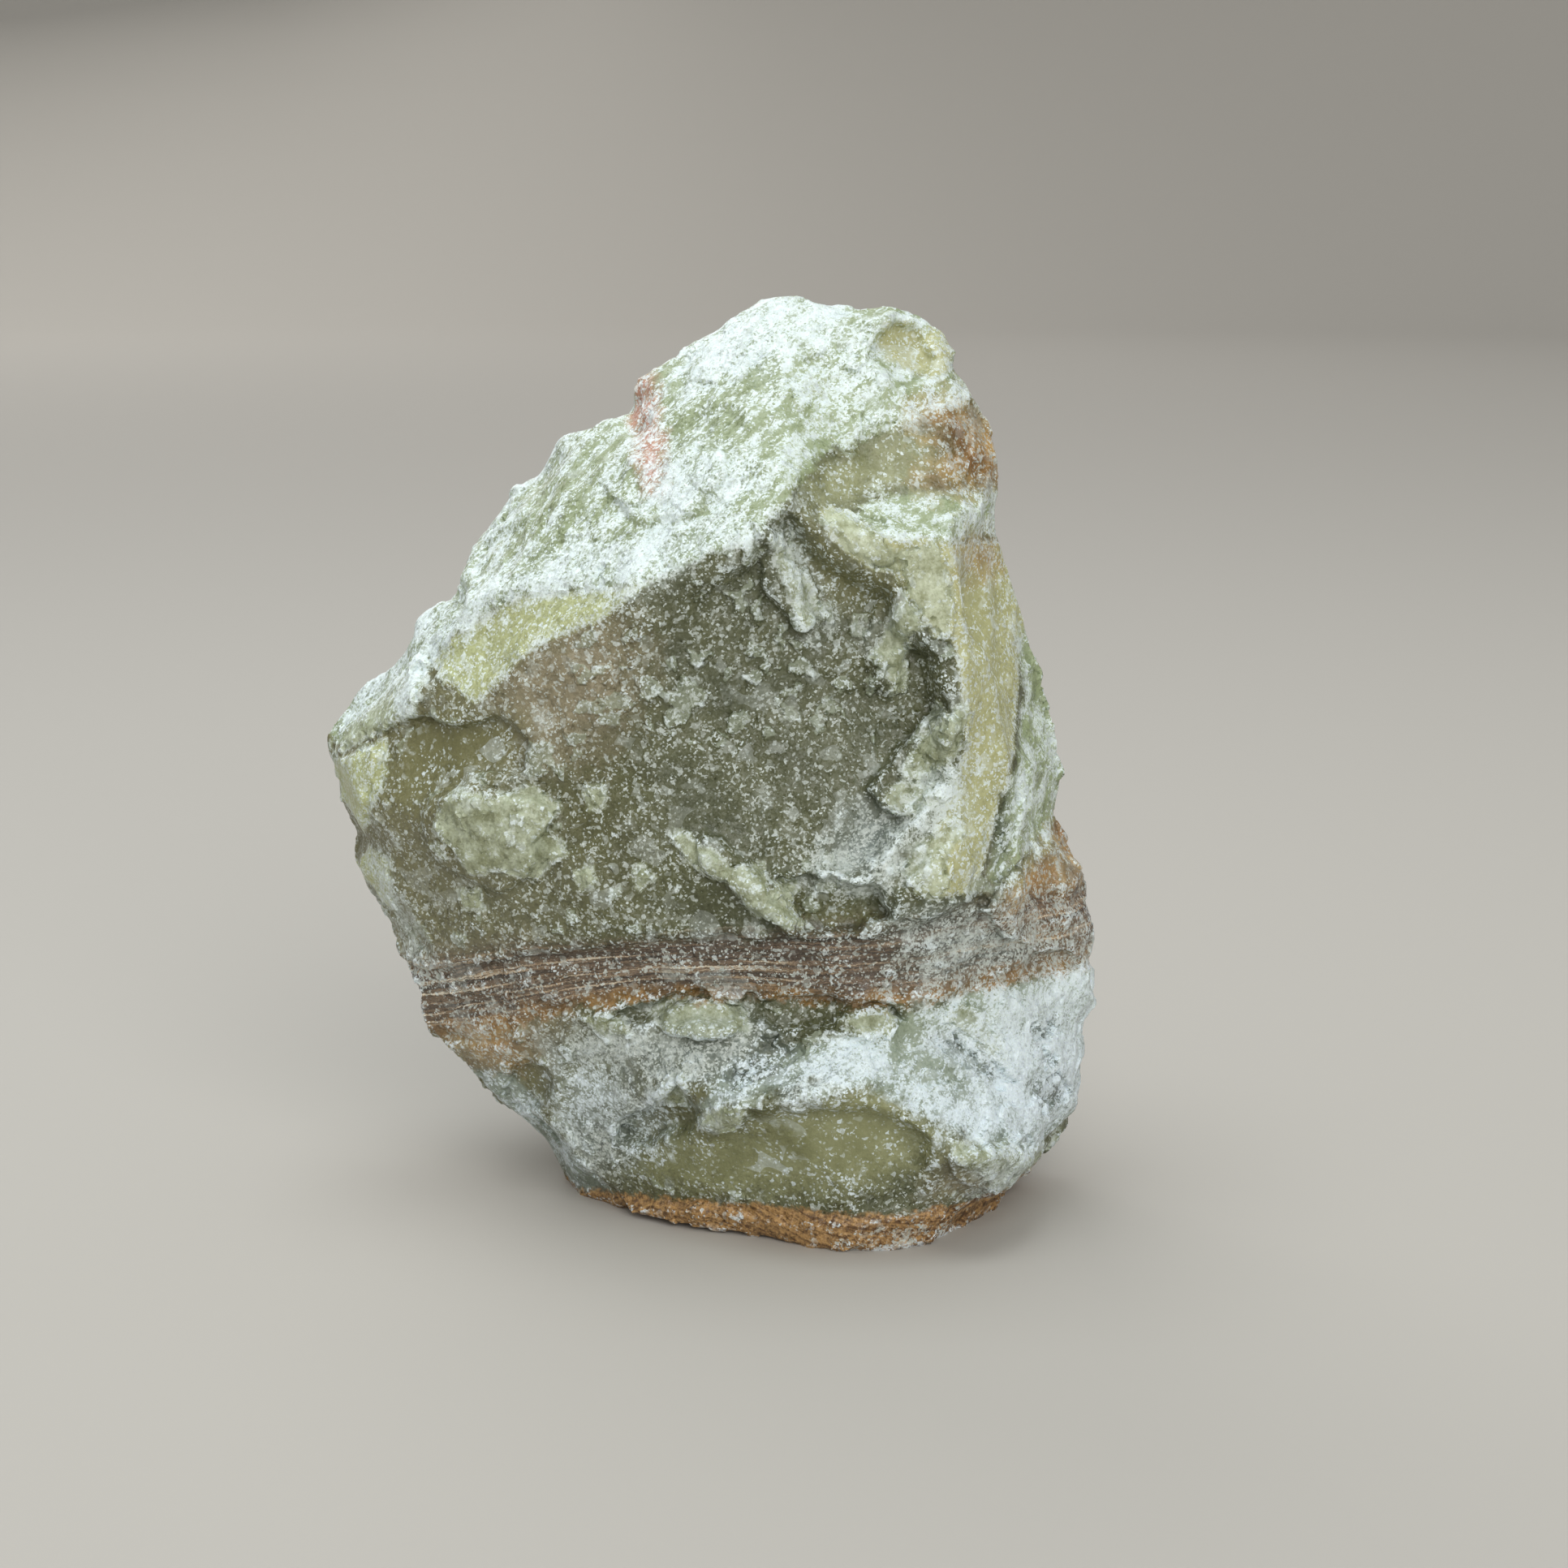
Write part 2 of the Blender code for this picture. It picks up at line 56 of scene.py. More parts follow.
# The stone's outline as seen from the front, (x, z), clockwise from the crown. It runs on below the base,
# which is cut flat at z = 0.
OUTLINE = [
    (6, 91), (9, 90.5), (13, 90.5), (19, 92), (24, 88), (25, 84), (28.5, 79), (29.5, 68.5),
    (31.5, 60.5), (33.5, 54.5), (36, 46), (36.5, 38), (38.5, 34), (41, 29), (41, 20.5), (39, 12), (38.5, 8),
    (35, 4), (31, 0), (29, -5), (26, -14), (-5, -14), (-13, -1.5), (-16.5, 4.5), (-25, 11.5), (-29.5, 16),
    (-30.5, 21.5), (-31.5, 27.5), (-36, 33.5), (-35.5, 37), (-37.5, 44.5), (-38, 47), (-34.5, 53),
    (-30.5, 56.5), (-24, 62), (-24, 67.5), (-20, 74), (-15.5, 80), (-6.5, 79), (-3, 83), (-1, 86.5),
    (2, 88),
]
FRONT_SLOPE, BACK_SLOPE = 0.30, 0.42  # how far the sides draw in for each millimetre away from the rim
SIDE_WANDER = 2.2  # how far the sides stray from that

# The ridges and creases of the front, from the top down, each from left to right as (x, y, z).
RIDGES = {
    "crown": [(-39, 4, 48), (-33, 5, 55), (-24, 6, 66), (-14, 6, 79), (-4, 5, 86), (5, 3, 92), (12, 0, 91),
              (18, -3, 91), (25, -3, 84), (29, -3, 75), (32, -1, 62), (36, 2, 50), (40, 4, 40)],
    "upper_ledge": [(-39, 3, 46.2), (-33, 1, 51.5), (-24, -2, 63.5), (-14, -6.5, 72), (-4, -9, 77.5),
                    (4, -14, 78), (8, -18.5, 75.5), (13, -14.5, 73.4), (16, -13, 72.8), (20, -12.3, 73.6),
                    (24, -11, 73.9), (28, -6.5, 72.8), (32, -3, 60), (36, 0, 48), (40, 3.5, 37)],
    "shoulder": [(-38.9, 2, 44.4), (-35.3, -3, 45.7), (-31.5, -6.8, 47.9), (-29.1, -7.6, 51.4),
                 (-27.4, -7.2, 57.2), (-25, -8, 60.6), (-18, -12, 64.4), (-11.7, -15.6, 65.5),
                 (-7, -18.2, 65.7), (-1.5, -20.3, 67.4), (4, -21, 69.4), (8, -20, 73), (12.2, -19.5, 70.3),
                 (20, -18, 69.6), (25.4, -15.5, 69.8), (28, -11, 69), (33, -5, 54), (36, -2, 44),
                 (40, 3, 34)],
    "bevel_foot": [(-38.9, 1.8, 43.8), (-31.5, -7.2, 47.2), (-29.1, -8.8, 50.4), (-27.4, -9.8, 53.8),
                   (-22.7, -12.8, 52.4), (-20.7, -13.9, 54), (-17.4, -16, 57.6), (-14.1, -17.3, 60.2),
                   (-9.7, -19, 62.8), (-5, -20, 65), (4, -21, 68.7), (12.2, -19.5, 69.7), (20, -18, 69),
                   (25.4, -15.6, 69.2), (28, -11, 68.4), (33, -5, 53.4), (36, -2, 43.4), (40, 3, 33.4)],
    "waist": [(-38.9, 1, 41.3), (-32, -7.5, 41.8), (-25, -12, 41.9), (-18.3, -15, 45.7), (-10, -17.5, 48.6),
              (-1.7, -18.5, 51), (6, -19, 52.8), (14, -19.5, 53.6), (21.5, -19.5, 54.4), (25.4, -18.5, 55),
              (29.7, -13, 52.5), (33.5, -6, 48.9), (36, -1, 41), (40, 3, 32)],
    "low_waist": [(-36.5, 1, 34.1), (-30.7, -6.5, 32.4), (-22, -12, 32.9), (-13.7, -16, 34.2),
                  (-5.7, -18.5, 35.2), (2.2, -20, 36.4), (10, -21, 35.8), (17.7, -21.5, 35.9),
                  (24, -20, 36.8), (29.7, -15, 37.6), (35.2, -7, 36.3), (39, 0, 30)],
    "band_foot": [(-29, -3, 18), (-22.6, -8, 18.5), (-15, -12.5, 21.2), (-10, -15, 23.1), (-2, -17.5, 25.2),
                  (6, -19, 24.8), (16.2, -19.5, 24.6), (22.5, -18, 25.6), (30, -13, 26), (38.7, -3, 24.4)],
    "shelf": [(-26.5, -3, 14.6), (-19.5, -6.5, 14.4), (-14.2, -12, 18), (-7.5, -15.5, 19.9),
              (-0.3, -18.5, 21.3), (6.8, -19.5, 21.8), (13, -20, 21.3), (18.6, -19.5, 20.8),
              (24.2, -17.5, 20.5), (31, -13, 20), (38.4, -3, 19)],
    "toe": [(-22.5, -2, 10.4), (-15.5, -7.5, 9), (-9.3, -13.5, 13.2), (-2, -19.5, 16.4), (3.7, -23.5, 15.6),
            (10, -25.5, 16.2), (16.2, -26, 16), (22.4, -25.5, 13), (27.4, -22, 10.4), (33.6, -13, 7.8),
            (37.7, -3, 8.6)],
    "base": [(-15, -4, 0), (-9.8, -8, 0), (-3, -12.3, 0), (2, -14, 0), (6.8, -16, 0), (14.8, -20.4, 0),
             (24.5, -17.5, 0), (28.7, -11.3, 0), (31.8, -1.5, 0), (34, 3, 0)],
}
LEAST_GAP = 0.5  # between one ridge and the next
ABOVE_CROWN, BELOW_BASE = 1.2, 0.35  # how fast the front falls back beyond the first and the last ridge

# The fracture faces of the back and the underside: a point on each, and the way it faces, as degrees round
# from the front (right is positive) and degrees up.
FRACTURES = {
    "back": ((2, 22.5, 40), (188, 4)),
    "back_upper": ((0, 19.5, 70), (170, 36)),
    "back_left": ((-27, 14, 38), (215, 8)),
    "back_right": ((26, 15, 42), (136, -3)),
    "back_lower": ((0, 20, 10), (180, -24)),
    "back_foot_left": ((-16, 9, 8), (232, -28)),
    "back_crown": ((16, 13, 84), (150, 50)),
    "under_right": ((35, 0, 4), (70, -38)),
    "under_left": ((1, -9, 0), (-32, -84)),
}

Feature = namedtuple("Feature", "height edge outline grows", defaults=(None,))

# What the blows took from the front, and what they left standing on it. Each feature has its height
# (negative where it is cut in), the width of its edge, its outline as (x, z) and, where it grows from
# nothing, the line along which it reaches its full height.
RELIEF = {
    # The wide shell-shaped hollow, deepest along its right wall
    "hollow": Feature(-4.2, 4.6, [(2.7, 67.7), (5.7, 70.4), (7.8, 73), (9.9, 72.7), (11.3, 70.7),
        (13, 68.6), (16, 66.5), (18.5, 65.5), (19.8, 62.7), (21.5, 60.1), (23.2, 58.9), (24, 55.1),
        (24.6, 51.9), (24.8, 49.6), (23.9, 46.5), (21.6, 43.1), (18.8, 39.7), (16.3, 37.3), (13, 36.5),
        (8.4, 36.5), (0, 36), (-8, 45), (-6, 60)], grows=((-5, 51), (21, 57))),
    # Where the hollow is cut deepest, low down
    "hollow_foot": Feature(-2.6, 1.3, [(6.1, 37.4), (7.5, 37.9), (9.9, 37.2), (13, 37.4), (17.3, 36.8),
        (18.5, 33.4), (14.6, 31.6), (10.2, 31.6), (8.8, 33.7), (7.2, 35.3)]),
    # A tongue of stone left beside it
    "hollow_tongue": Feature(1.4, 0.9, [(-0.2, 41.9), (2.2, 41), (5.3, 38.6), (6.4, 36.9), (8, 34.1),
        (10.2, 31.6), (8.8, 31.3), (6.1, 33.6), (4.1, 35.6), (1.8, 37), (0.2, 38.6)]),
    # A sliver left standing at the hollow's upper left
    "hollow_sliver": Feature(1.5, 0.8, [(5.3, 71.4), (8, 70.8), (8.6, 67.6), (9.9, 64.9), (11.1, 61.2),
        (9.9, 60.8), (8, 62.2), (6.5, 64.5), (5.7, 67.7)]),
    "hollow_flake": Feature(1, 0.9, [(16.8, 63.3), (18.7, 64), (20.3, 61.3), (19.9, 59), (19, 55.2),
        (17.6, 52.5), (16.5, 56), (15.7, 59.1)]),
    # Plates stacked against the hollow's wall
    "hollow_plates": Feature(2, 1, [(17, 47.1), (19.2, 49.8), (22.3, 52.4), (25, 53.1), (24.6, 50),
        (22.7, 47.4), (21.2, 44.7), (20, 42.8), (17.3, 43.6), (16.1, 45.6)]),
    # A thin curtain at the hollow's upper right
    "curtain": Feature(-1.5, 1.2, [(16.5, 66.8), (21.4, 69.6), (23.4, 67.5), (24.4, 62), (24.2, 58.5),
        (22.4, 60.1), (21.1, 60.9), (19.5, 62.8), (18.5, 65.5)], grows=((24, 64), (17, 65))),
    # A smooth chip by the crown
    "crown_chip": Feature(-2, 2.2, [(16.6, 88.2), (18.9, 89.6), (22.1, 88), (23.5, 85.6), (22.8, 83.4),
        (21.1, 82.6), (18.3, 83.3), (16.5, 85.3)]),
    "shoulder_plate": Feature(1, 0.8, [(-5.9, 76.3), (0.5, 77.8), (3.3, 76.9), (2.6, 74), (-1.7, 71),
        (-5.6, 70.7), (-8.2, 72.6)]),
    "left_recess": Feature(-1.8, 1, [(-31.4, 48.3), (-29.1, 50.6), (-26.2, 51.3), (-22.9, 51.1),
        (-17.9, 51.6), (-15, 49.5), (-17, 46.5), (-22.5, 44.9), (-26, 42.9), (-28.9, 41.3), (-31, 42.3),
        (-32.5, 44.1)], grows=((-24, 42), (-24, 50))),
    "left_facet": Feature(1.3, 0.8, [(-39, 45), (-35.8, 45.8), (-31.7, 47.2), (-32.1, 44.9),
        (-33.3, 41.4), (-35, 36), (-38.5, 38)]),
    # A broad thin flake on the left
    "left_flake": Feature(1.1, 0.8, [(-26.3, 42.9), (-24.6, 44.5), (-21.6, 45.4), (-18.4, 45),
        (-14.2, 43.9), (-13.6, 42.3), (-15.4, 40.2), (-15.3, 38.2), (-17.4, 35.5), (-19.3, 34.2),
        (-21.9, 35), (-25.3, 36.3), (-26.5, 38.3), (-26.8, 40.8)]),
    # The right edge, set back from the column
    "right_strip": Feature(-1.6, 1, [(28.4, 66), (33, 66), (37, 50), (37, 38.5), (33.5, 38),
        (30.8, 40.2), (29.8, 45.4), (29.2, 50.3), (29.1, 56), (28.6, 60.3)]),
    "right_lump": Feature(1.5, 1.1, [(26.6, 34), (28.9, 37.4), (31.5, 38.3), (34.5, 37), (38.5, 34.5),
        (40, 30), (40, 24.1), (32.6, 27.4), (28.2, 30.6)]),
    "column_foot": Feature(1, 1, [(18.5, 36.5), (22, 39.5), (25, 41.5), (26.6, 38), (26, 34.6), (22, 33),
        (18.6, 33.2)]),
    # The brown band, set back a little
    "band": Feature(-0.8, 0.9, [(-34, 24), (-25.8, 25.3), (-18.9, 27.7), (-10.6, 29.5), (-1.8, 31),
        (6.1, 31.4), (17.7, 31.8), (25.6, 33.4), (30.7, 34), (40, 32), (40, 23.7), (29.9, 26),
        (22.5, 25.6), (16.2, 24.6), (10, 24.3), (-1.8, 25.2), (-9.9, 23.1), (-14.9, 21.2), (-18.4, 18.9),
        (-23, 16.6), (-32, 16)]),
    # The undercut below the band
    "band_groove": Feature(-1.7, 0.9, [(-10.5, 20.6), (-9.1, 22.6), (-5.9, 23.9), (-2.3, 25.2),
        (6, 24.9), (13.1, 24.8), (19.4, 24.6), (20.5, 22.6), (18, 21.6), (12.3, 21.9), (4.5, 22.4),
        (-2.7, 21.9)]),
    # Lens-shaped plates in the undercut
    "left_lens": Feature(1.5, 0.8, [(-3.8, 21.5), (-2.5, 23.7), (-0.3, 24.5), (2.5, 24.3), (4.1, 23.2),
        (3.3, 21.6), (-0.3, 21.3)]),
    "right_lens": Feature(1.5, 0.8, [(12.3, 22.5), (14.7, 24.1), (18.2, 24.1), (18.8, 22.4), (17, 21.2),
        (13.9, 21.5)]),
    "round_chip": Feature(-1.8, 1.6, [(-19.5, 14.6), (-17.5, 16.2), (-15.4, 15.6), (-14.4, 13.4),
        (-15.4, 10.9), (-18.7, 8.6), (-20.6, 10.5)]),
    "crescent_chip": Feature(-2.4, 1.4, [(-9.1, 8.1), (-6.9, 12.2), (-3.1, 15.3), (-2, 17.5),
        (-0.6, 15.2), (0.9, 13.3), (-1.4, 10.8), (-5.7, 8)]),
    # The smooth scoop under the toe, deepest along its top
    "toe_scoop": Feature(-3.0, 5.0, [(0, 3), (1.3, 12.9), (4.1, 15.7), (10.7, 17.4), (14.6, 17.5),
        (18.5, 16), (23, 13.5), (23.5, 10), (21, 4), (12, 1)], grows=((10, 3), (13, 17))),
    "toe_plate": Feature(1.4, 0.9, [(22.9, 11.7), (28.7, 10.9), (33.9, 8), (36, 4), (31.6, 1.5),
        (27.3, 5.4), (24.6, 7.9)]),
    # The brown layer that the stone stands on
    "sole": Feature(0.9, 0.8, [(-20, -0.6), (-13.7, 0.6), (-8, 1.8), (-0.5, 2.6), (6.8, 3), (16.3, 3.7),
        (21.9, 4.2), (29, 3.2), (36, 2), (36, -6), (-20, -6)]),
}
BAND_TILT = 0.06  # how much the stone's layers rise for each millimetre to the right
BREAK_SIZE = 21.0  # distance between the large scars on the hidden sides
BREAK_DEPTH = 1.7
CHIP_SIZE = 7.5  # distance between the small scars all round
CHIP_DEPTH = 0.55
TERRACE_SIZE = 9.0  # distance over which the broken faces step up or down by one terrace
TERRACE_STEP = 0.6
LAYER_STEP = 0.55  # how far the thin layers of the brown band stand out
EDGE_WIDTH = 0.5  # share of its given width that a feature's edge takes up


def facing(around, up):
    """The unit vector of a face that looks that many degrees round from the front and that many up."""
    around, up = math.radians(around), math.radians(up)
    return np.array([math.sin(around) * math.cos(up), -math.cos(around) * math.cos(up), math.sin(up)])


def scramble(cells, seed):
    """A repeatable number from 0 to 1 for each whole-numbered cell."""
    mixed = cells @ np.array([127.1, 311.7, 74.7]) + seed * 19.19
    return np.mod(np.sin(mixed) * 43758.5453, 1.0)


def smooth_step(value):
    value = np.clip(value, 0, 1)
    return value * value * (3 - 2 * value)


def noise(points, size, seed):
    """Smooth noise from -1 to 1 whose lumps are about the given size across."""
    scaled = points / size
    cell = np.floor(scaled)
    part = smooth_step(scaled - cell)
    total = np.zeros(len(points))
    for corner in np.ndindex(2, 2, 2):
        weight = np.prod(np.where(corner, part, 1 - part), axis=1)
        total += weight * scramble(cell + corner, seed)
    return total * 2 - 1


def outline_distance(x, z, outline):
    """Signed distance in mm from points to a closed outline in the XZ plane, negative inside."""
    corners = np.array(outline, float)
    nearest = np.full(x.shape, np.inf)
    inside = np.zeros(x.shape, bool)
    for (ax, az), (bx, bz) in zip(corners, np.roll(corners, -1, axis=0)):
        ex, ez = bx - ax, bz - az
        along = np.clip(((x - ax) * ex + (z - az) * ez) / (ex * ex + ez * ez), 0, 1)
        nearest = np.minimum(nearest, np.hypot(x - ax - along * ex, z - az - along * ez))
        crosses = (az > z) != (bz > z)
        inside ^= crosses & (x < ax + (z - az) / (ez if ez else 1.0) * ex)
    return np.where(inside, -nearest, nearest)


def front_depth(x, z):
    """The y of the front at each (x, z): straight faces between the ridges."""
    lines = [np.array(line, float) for line in RIDGES.values()]
    heights = [np.interp(x, line[:, 0], line[:, 2]) for line in lines]
    depths = [np.interp(x, line[:, 0], line[:, 1]) for line in lines]
    found = depths[-1] + BELOW_BASE * np.clip(-z, 0, None)
    for above in range(len(lines) - 1):
        heights[above + 1] = np.minimum(heights[above + 1], heights[above] - LEAST_GAP)
        rise = np.clip((z - heights[above + 1]) / (heights[above] - heights[above + 1]), 0, 1)
        found = found + (depths[above] - depths[above + 1]) * rise
    return found + ABOVE_CROWN * np.clip(z - heights[0], 0, None)


def rim_depth(x, z):
    """The y at which the stone is widest, which wanders as one goes round it."""
    return RIM_DEPTH + 4 * np.sin(z / 17) + 3 * np.sin(x / 11 + 1)


def outside(points):
    """Above zero for each point that lies outside the block that the fractures leave."""
    x, y, z = points.T
    away = y - rim_depth(x, z)
    drawn_in = np.where(away > 0, BACK_SLOPE, FRONT_SLOPE) * np.abs(away)
    drawn_in += SIDE_WANDER * np.clip(np.abs(away) / 8, 0, 1) * noise(points, 9.0, 3)
    distance = np.maximum(outline_distance(x, z, OUTLINE) + drawn_in, front_depth(x, z) - y)
    for place, way in FRACTURES.values():
        distance = np.maximum(distance, (points - place) @ facing(*way))
    return distance


def block_points(directions):
    """Where a spoke in each direction leaves the block. The spokes start on a flat disc inside it."""
    half = np.array([WIDTH, DEPTH, HEIGHT]) / 2
    reach = directions * half
    start = MIDDLE + reach * (0.5, 0.0, 0.5)
    way = reach * (0.5, 1.0, 0.5)
    way /= np.linalg.norm(way, axis=1)[:, None]
    near, far = np.zeros(len(way)), np.full(len(way), 80.0)
    for _ in range(22):
        middle = (near + far) / 2
        out = outside(start + way * middle[:, None]) > 0
        far = np.where(out, middle, far)
        near = np.where(out, near, middle)
    return start + way * near[:, None]


def scars(points, size, seed, bowl=0.45, tilt=0.45):
    """The scars of many blows: shallow tilted bowls that meet in sharp ridges, from about -1 to 1."""
    scaled = points / size
    cell = np.floor(scaled)
    lowest = np.full(len(points), np.inf)
    for corner in np.ndindex(3, 3, 3):
        place = cell + np.array(corner) - 1
        drawn = [scramble(place, seed + number) for number in range(7)]
        away = scaled - place - np.stack(drawn[:3], axis=1)
        slope = np.stack(drawn[3:6], axis=1) * 2 - 1
        height = drawn[6] * 0.6 + tilt * np.sum(slope * away, axis=1) + bowl * np.sum(away ** 2, axis=1)
        lowest = np.minimum(lowest, height + 0.6 * np.clip(np.sum(away ** 2, axis=1) - 0.8, 0, None))
    return 3.0 * (lowest - 0.22)


def terraces(points, size, seed):
    """Flat treads joined by short risers, as a break across grains leaves them, from about -2 to 2."""
    height = 1.5 * scars(points * (1.0, 1.0, 1.4), size, seed) + 0.8 * noise(points, size, seed + 9)
    tread = np.floor(height)
    return tread + smooth_step((height - tread - 0.75) / 0.25)


def band_layers(points):
    """Thin layers that stand out and fall back in turn, only where the brown band runs round the stone."""
    level = points[:, 2] - BAND_TILT * points[:, 0] + 0.5 * noise(points, 14.0, 31)
    steps = 0.6 * noise(np.stack([level, points[:, 0] / 9, points[:, 1] / 9], axis=1), 1.3, 32)
    inside = smooth_step((level - 21.5) / 1.5) * smooth_step((31.5 - level) / 1.5)
    return steps * inside


def front_relief(points):
    """How far the front stands out from its straight faces, in millimetres."""
    x, _, z = points.T
    ragged = 0.45 * noise(points, 2.6, 11) + 0.35 * noise(points, 1.2, 12) + 0.2 * noise(points, 0.7, 13)
    raised = np.zeros(len(points))
    for feature in RELIEF.values():
        width = feature.edge * EDGE_WIDTH
        amount = smooth_step((ragged - outline_distance(x, z, feature.outline)) / width)
        if feature.grows:
            (from_x, from_z), (to_x, to_z) = feature.grows
            run_x, run_z = to_x - from_x, to_z - from_z
            along = ((x - from_x) * run_x + (z - from_z) * run_z) / (run_x ** 2 + run_z ** 2)
            amount = amount * np.clip(along, 0, 1.15)
        raised += feature.height * amount
    return raised


def carve(points, normals):
    """The block's points after the chips, scars and ledges are cut into it."""
    seen = smooth_step((-normals[:, 1] - 0.05) / 0.45)
    near_rim = np.exp(-((points[:, 1] - RIM_DEPTH) / 5.0) ** 2)
    hidden = (1 - 0.8 * seen) * (1 - 0.6 * near_rim)
    broken = BREAK_DEPTH * scars(points, BREAK_SIZE, 21) * hidden
    chipped = CHIP_DEPTH * scars(points, CHIP_SIZE, 61, bowl=0.7) * (1 - 0.45 * seen)
    stepped = TERRACE_STEP * terraces(points, TERRACE_SIZE, 41)
    stepped *= smooth_step(noise(points, 17.0, 47) * 2.0 + 0.2) * (1 - 0.5 * seen)
    layers = LAYER_STEP * band_layers(points)
    relief = broken + chipped + stepped + layers + 0.12 * noise(points, 2.2, 51)
    moved = points + normals * relief[:, None]
    moved[:, 1] -= seen * front_relief(points)
    return moved


def plates(points, size, seed):
    """Flat plates that meet in crisp steps: how high the plate at each point stands, tilt included, from
    about 0 to 1, and a number from 0 to 1 that is the same all over a plate."""
    bent = points + 0.3 * size * np.stack([noise(points, 0.6 * size, seed + n) for n in (7, 8, 9)], axis=1)
    scaled = bent / size
    cell = np.floor(scaled)
    nearest = np.full(len(points), np.inf)
    height, tone = np.zeros(len(points)), np.zeros(len(points))
    for corner in np.ndindex(3, 3, 3):
        place = cell + np.array(corner) - 1
        away = scaled - place - np.stack([scramble(place, seed + number) for number in range(3)], axis=1)
        distance = np.sum(away ** 2, axis=1)
        near = distance < nearest
        slope = np.stack([scramble(place[near], seed + number) for number in (3, 4, 5)], axis=1) * 2 - 1
        tone[near] = scramble(place[near], seed + 6)
        height[near] = tone[near] + 0.7 * np.sum(slope * away[near], axis=1)
        nearest = np.minimum(nearest, distance)
    return height, tone


STREAK = (-0.64, -0.36, -0.68)  # the way in which the grains lie drawn out, down and to the left


def streaked(points, share=0.7):
    """Points squeezed along the grain, so that a pattern made on them comes out drawn out along it."""
    return points - share * np.outer(points @ STREAK, STREAK)


def mesh_points(mesh):
    found = np.empty(len(mesh.vertices) * 3)
    mesh.vertices.foreach_get("co", found)
    return found.reshape(-1, 3) / MM


def mesh_normals(mesh):
    found = np.empty(len(mesh.vertices) * 3, np.float32)
    mesh.vertex_normals.foreach_get("vector", found)
    return found.reshape(-1, 3).astype(float)


def mesh_edges(mesh):
    found = np.empty(len(mesh.edges) * 2, np.int32)
    mesh.edges.foreach_get("vertices", found)
    return found.reshape(-1, 2)


def move_to(mesh, points):
    mesh.vertices.foreach_set("co", (points * MM).ravel())
    mesh.update()


def soften(values, edges, rounds, share=0.5):
    """Values on the mesh's points, each drawn towards the mean of its neighbours, that many times over."""
    count = np.bincount(edges.ravel(), minlength=len(values)).clip(1)[:, None]
    for _ in range(rounds):
        mean = np.stack([
            np.bincount(edges[:, 0], column[edges[:, 1]], len(values))
            + np.bincount(edges[:, 1], column[edges[:, 0]], len(values))
            for column in values.T
        ], axis=1) / count
        values = values + share * (mean - values)
    return values


def unit(vectors):
    return vectors / np.linalg.norm(vectors, axis=1)[:, None].clip(1e-9)


def applied(piece, kind, **settings):
    """A new mesh: the piece's, after one modifier."""
    modifier = piece.modifiers.new("step", kind)
    for name, value in settings.items():
        setattr(modifier, name, value)
    made = bpy.data.meshes.new_from_object(piece.evaluated_get(bpy.context.evaluated_depsgraph_get()))
    piece.modifiers.clear()
    return made


def cut_base(mesh):
    """Cut the stone flat at z = 0 and close the cut."""
    shape = bmesh.new()
    shape.from_mesh(mesh)
    parts = shape.verts[:] + shape.edges[:] + shape.faces[:]
    cut = bmesh.ops.bisect_plane(shape, geom=parts, plane_co=(0, 0, 0), plane_no=(0, 0, -1),
                                 clear_outer=True)
    rim = [part for part in cut["geom_cut"] if isinstance(part, bmesh.types.BMEdge)]
    bmesh.ops.contextual_create(shape, geom=rim)
    bmesh.ops.triangulate(shape, faces=[face for face in shape.faces if len(face.verts) > 3])
    bmesh.ops.recalc_face_normals(shape, faces=shape.faces[:])
    shape.to_mesh(mesh)
    shape.free()


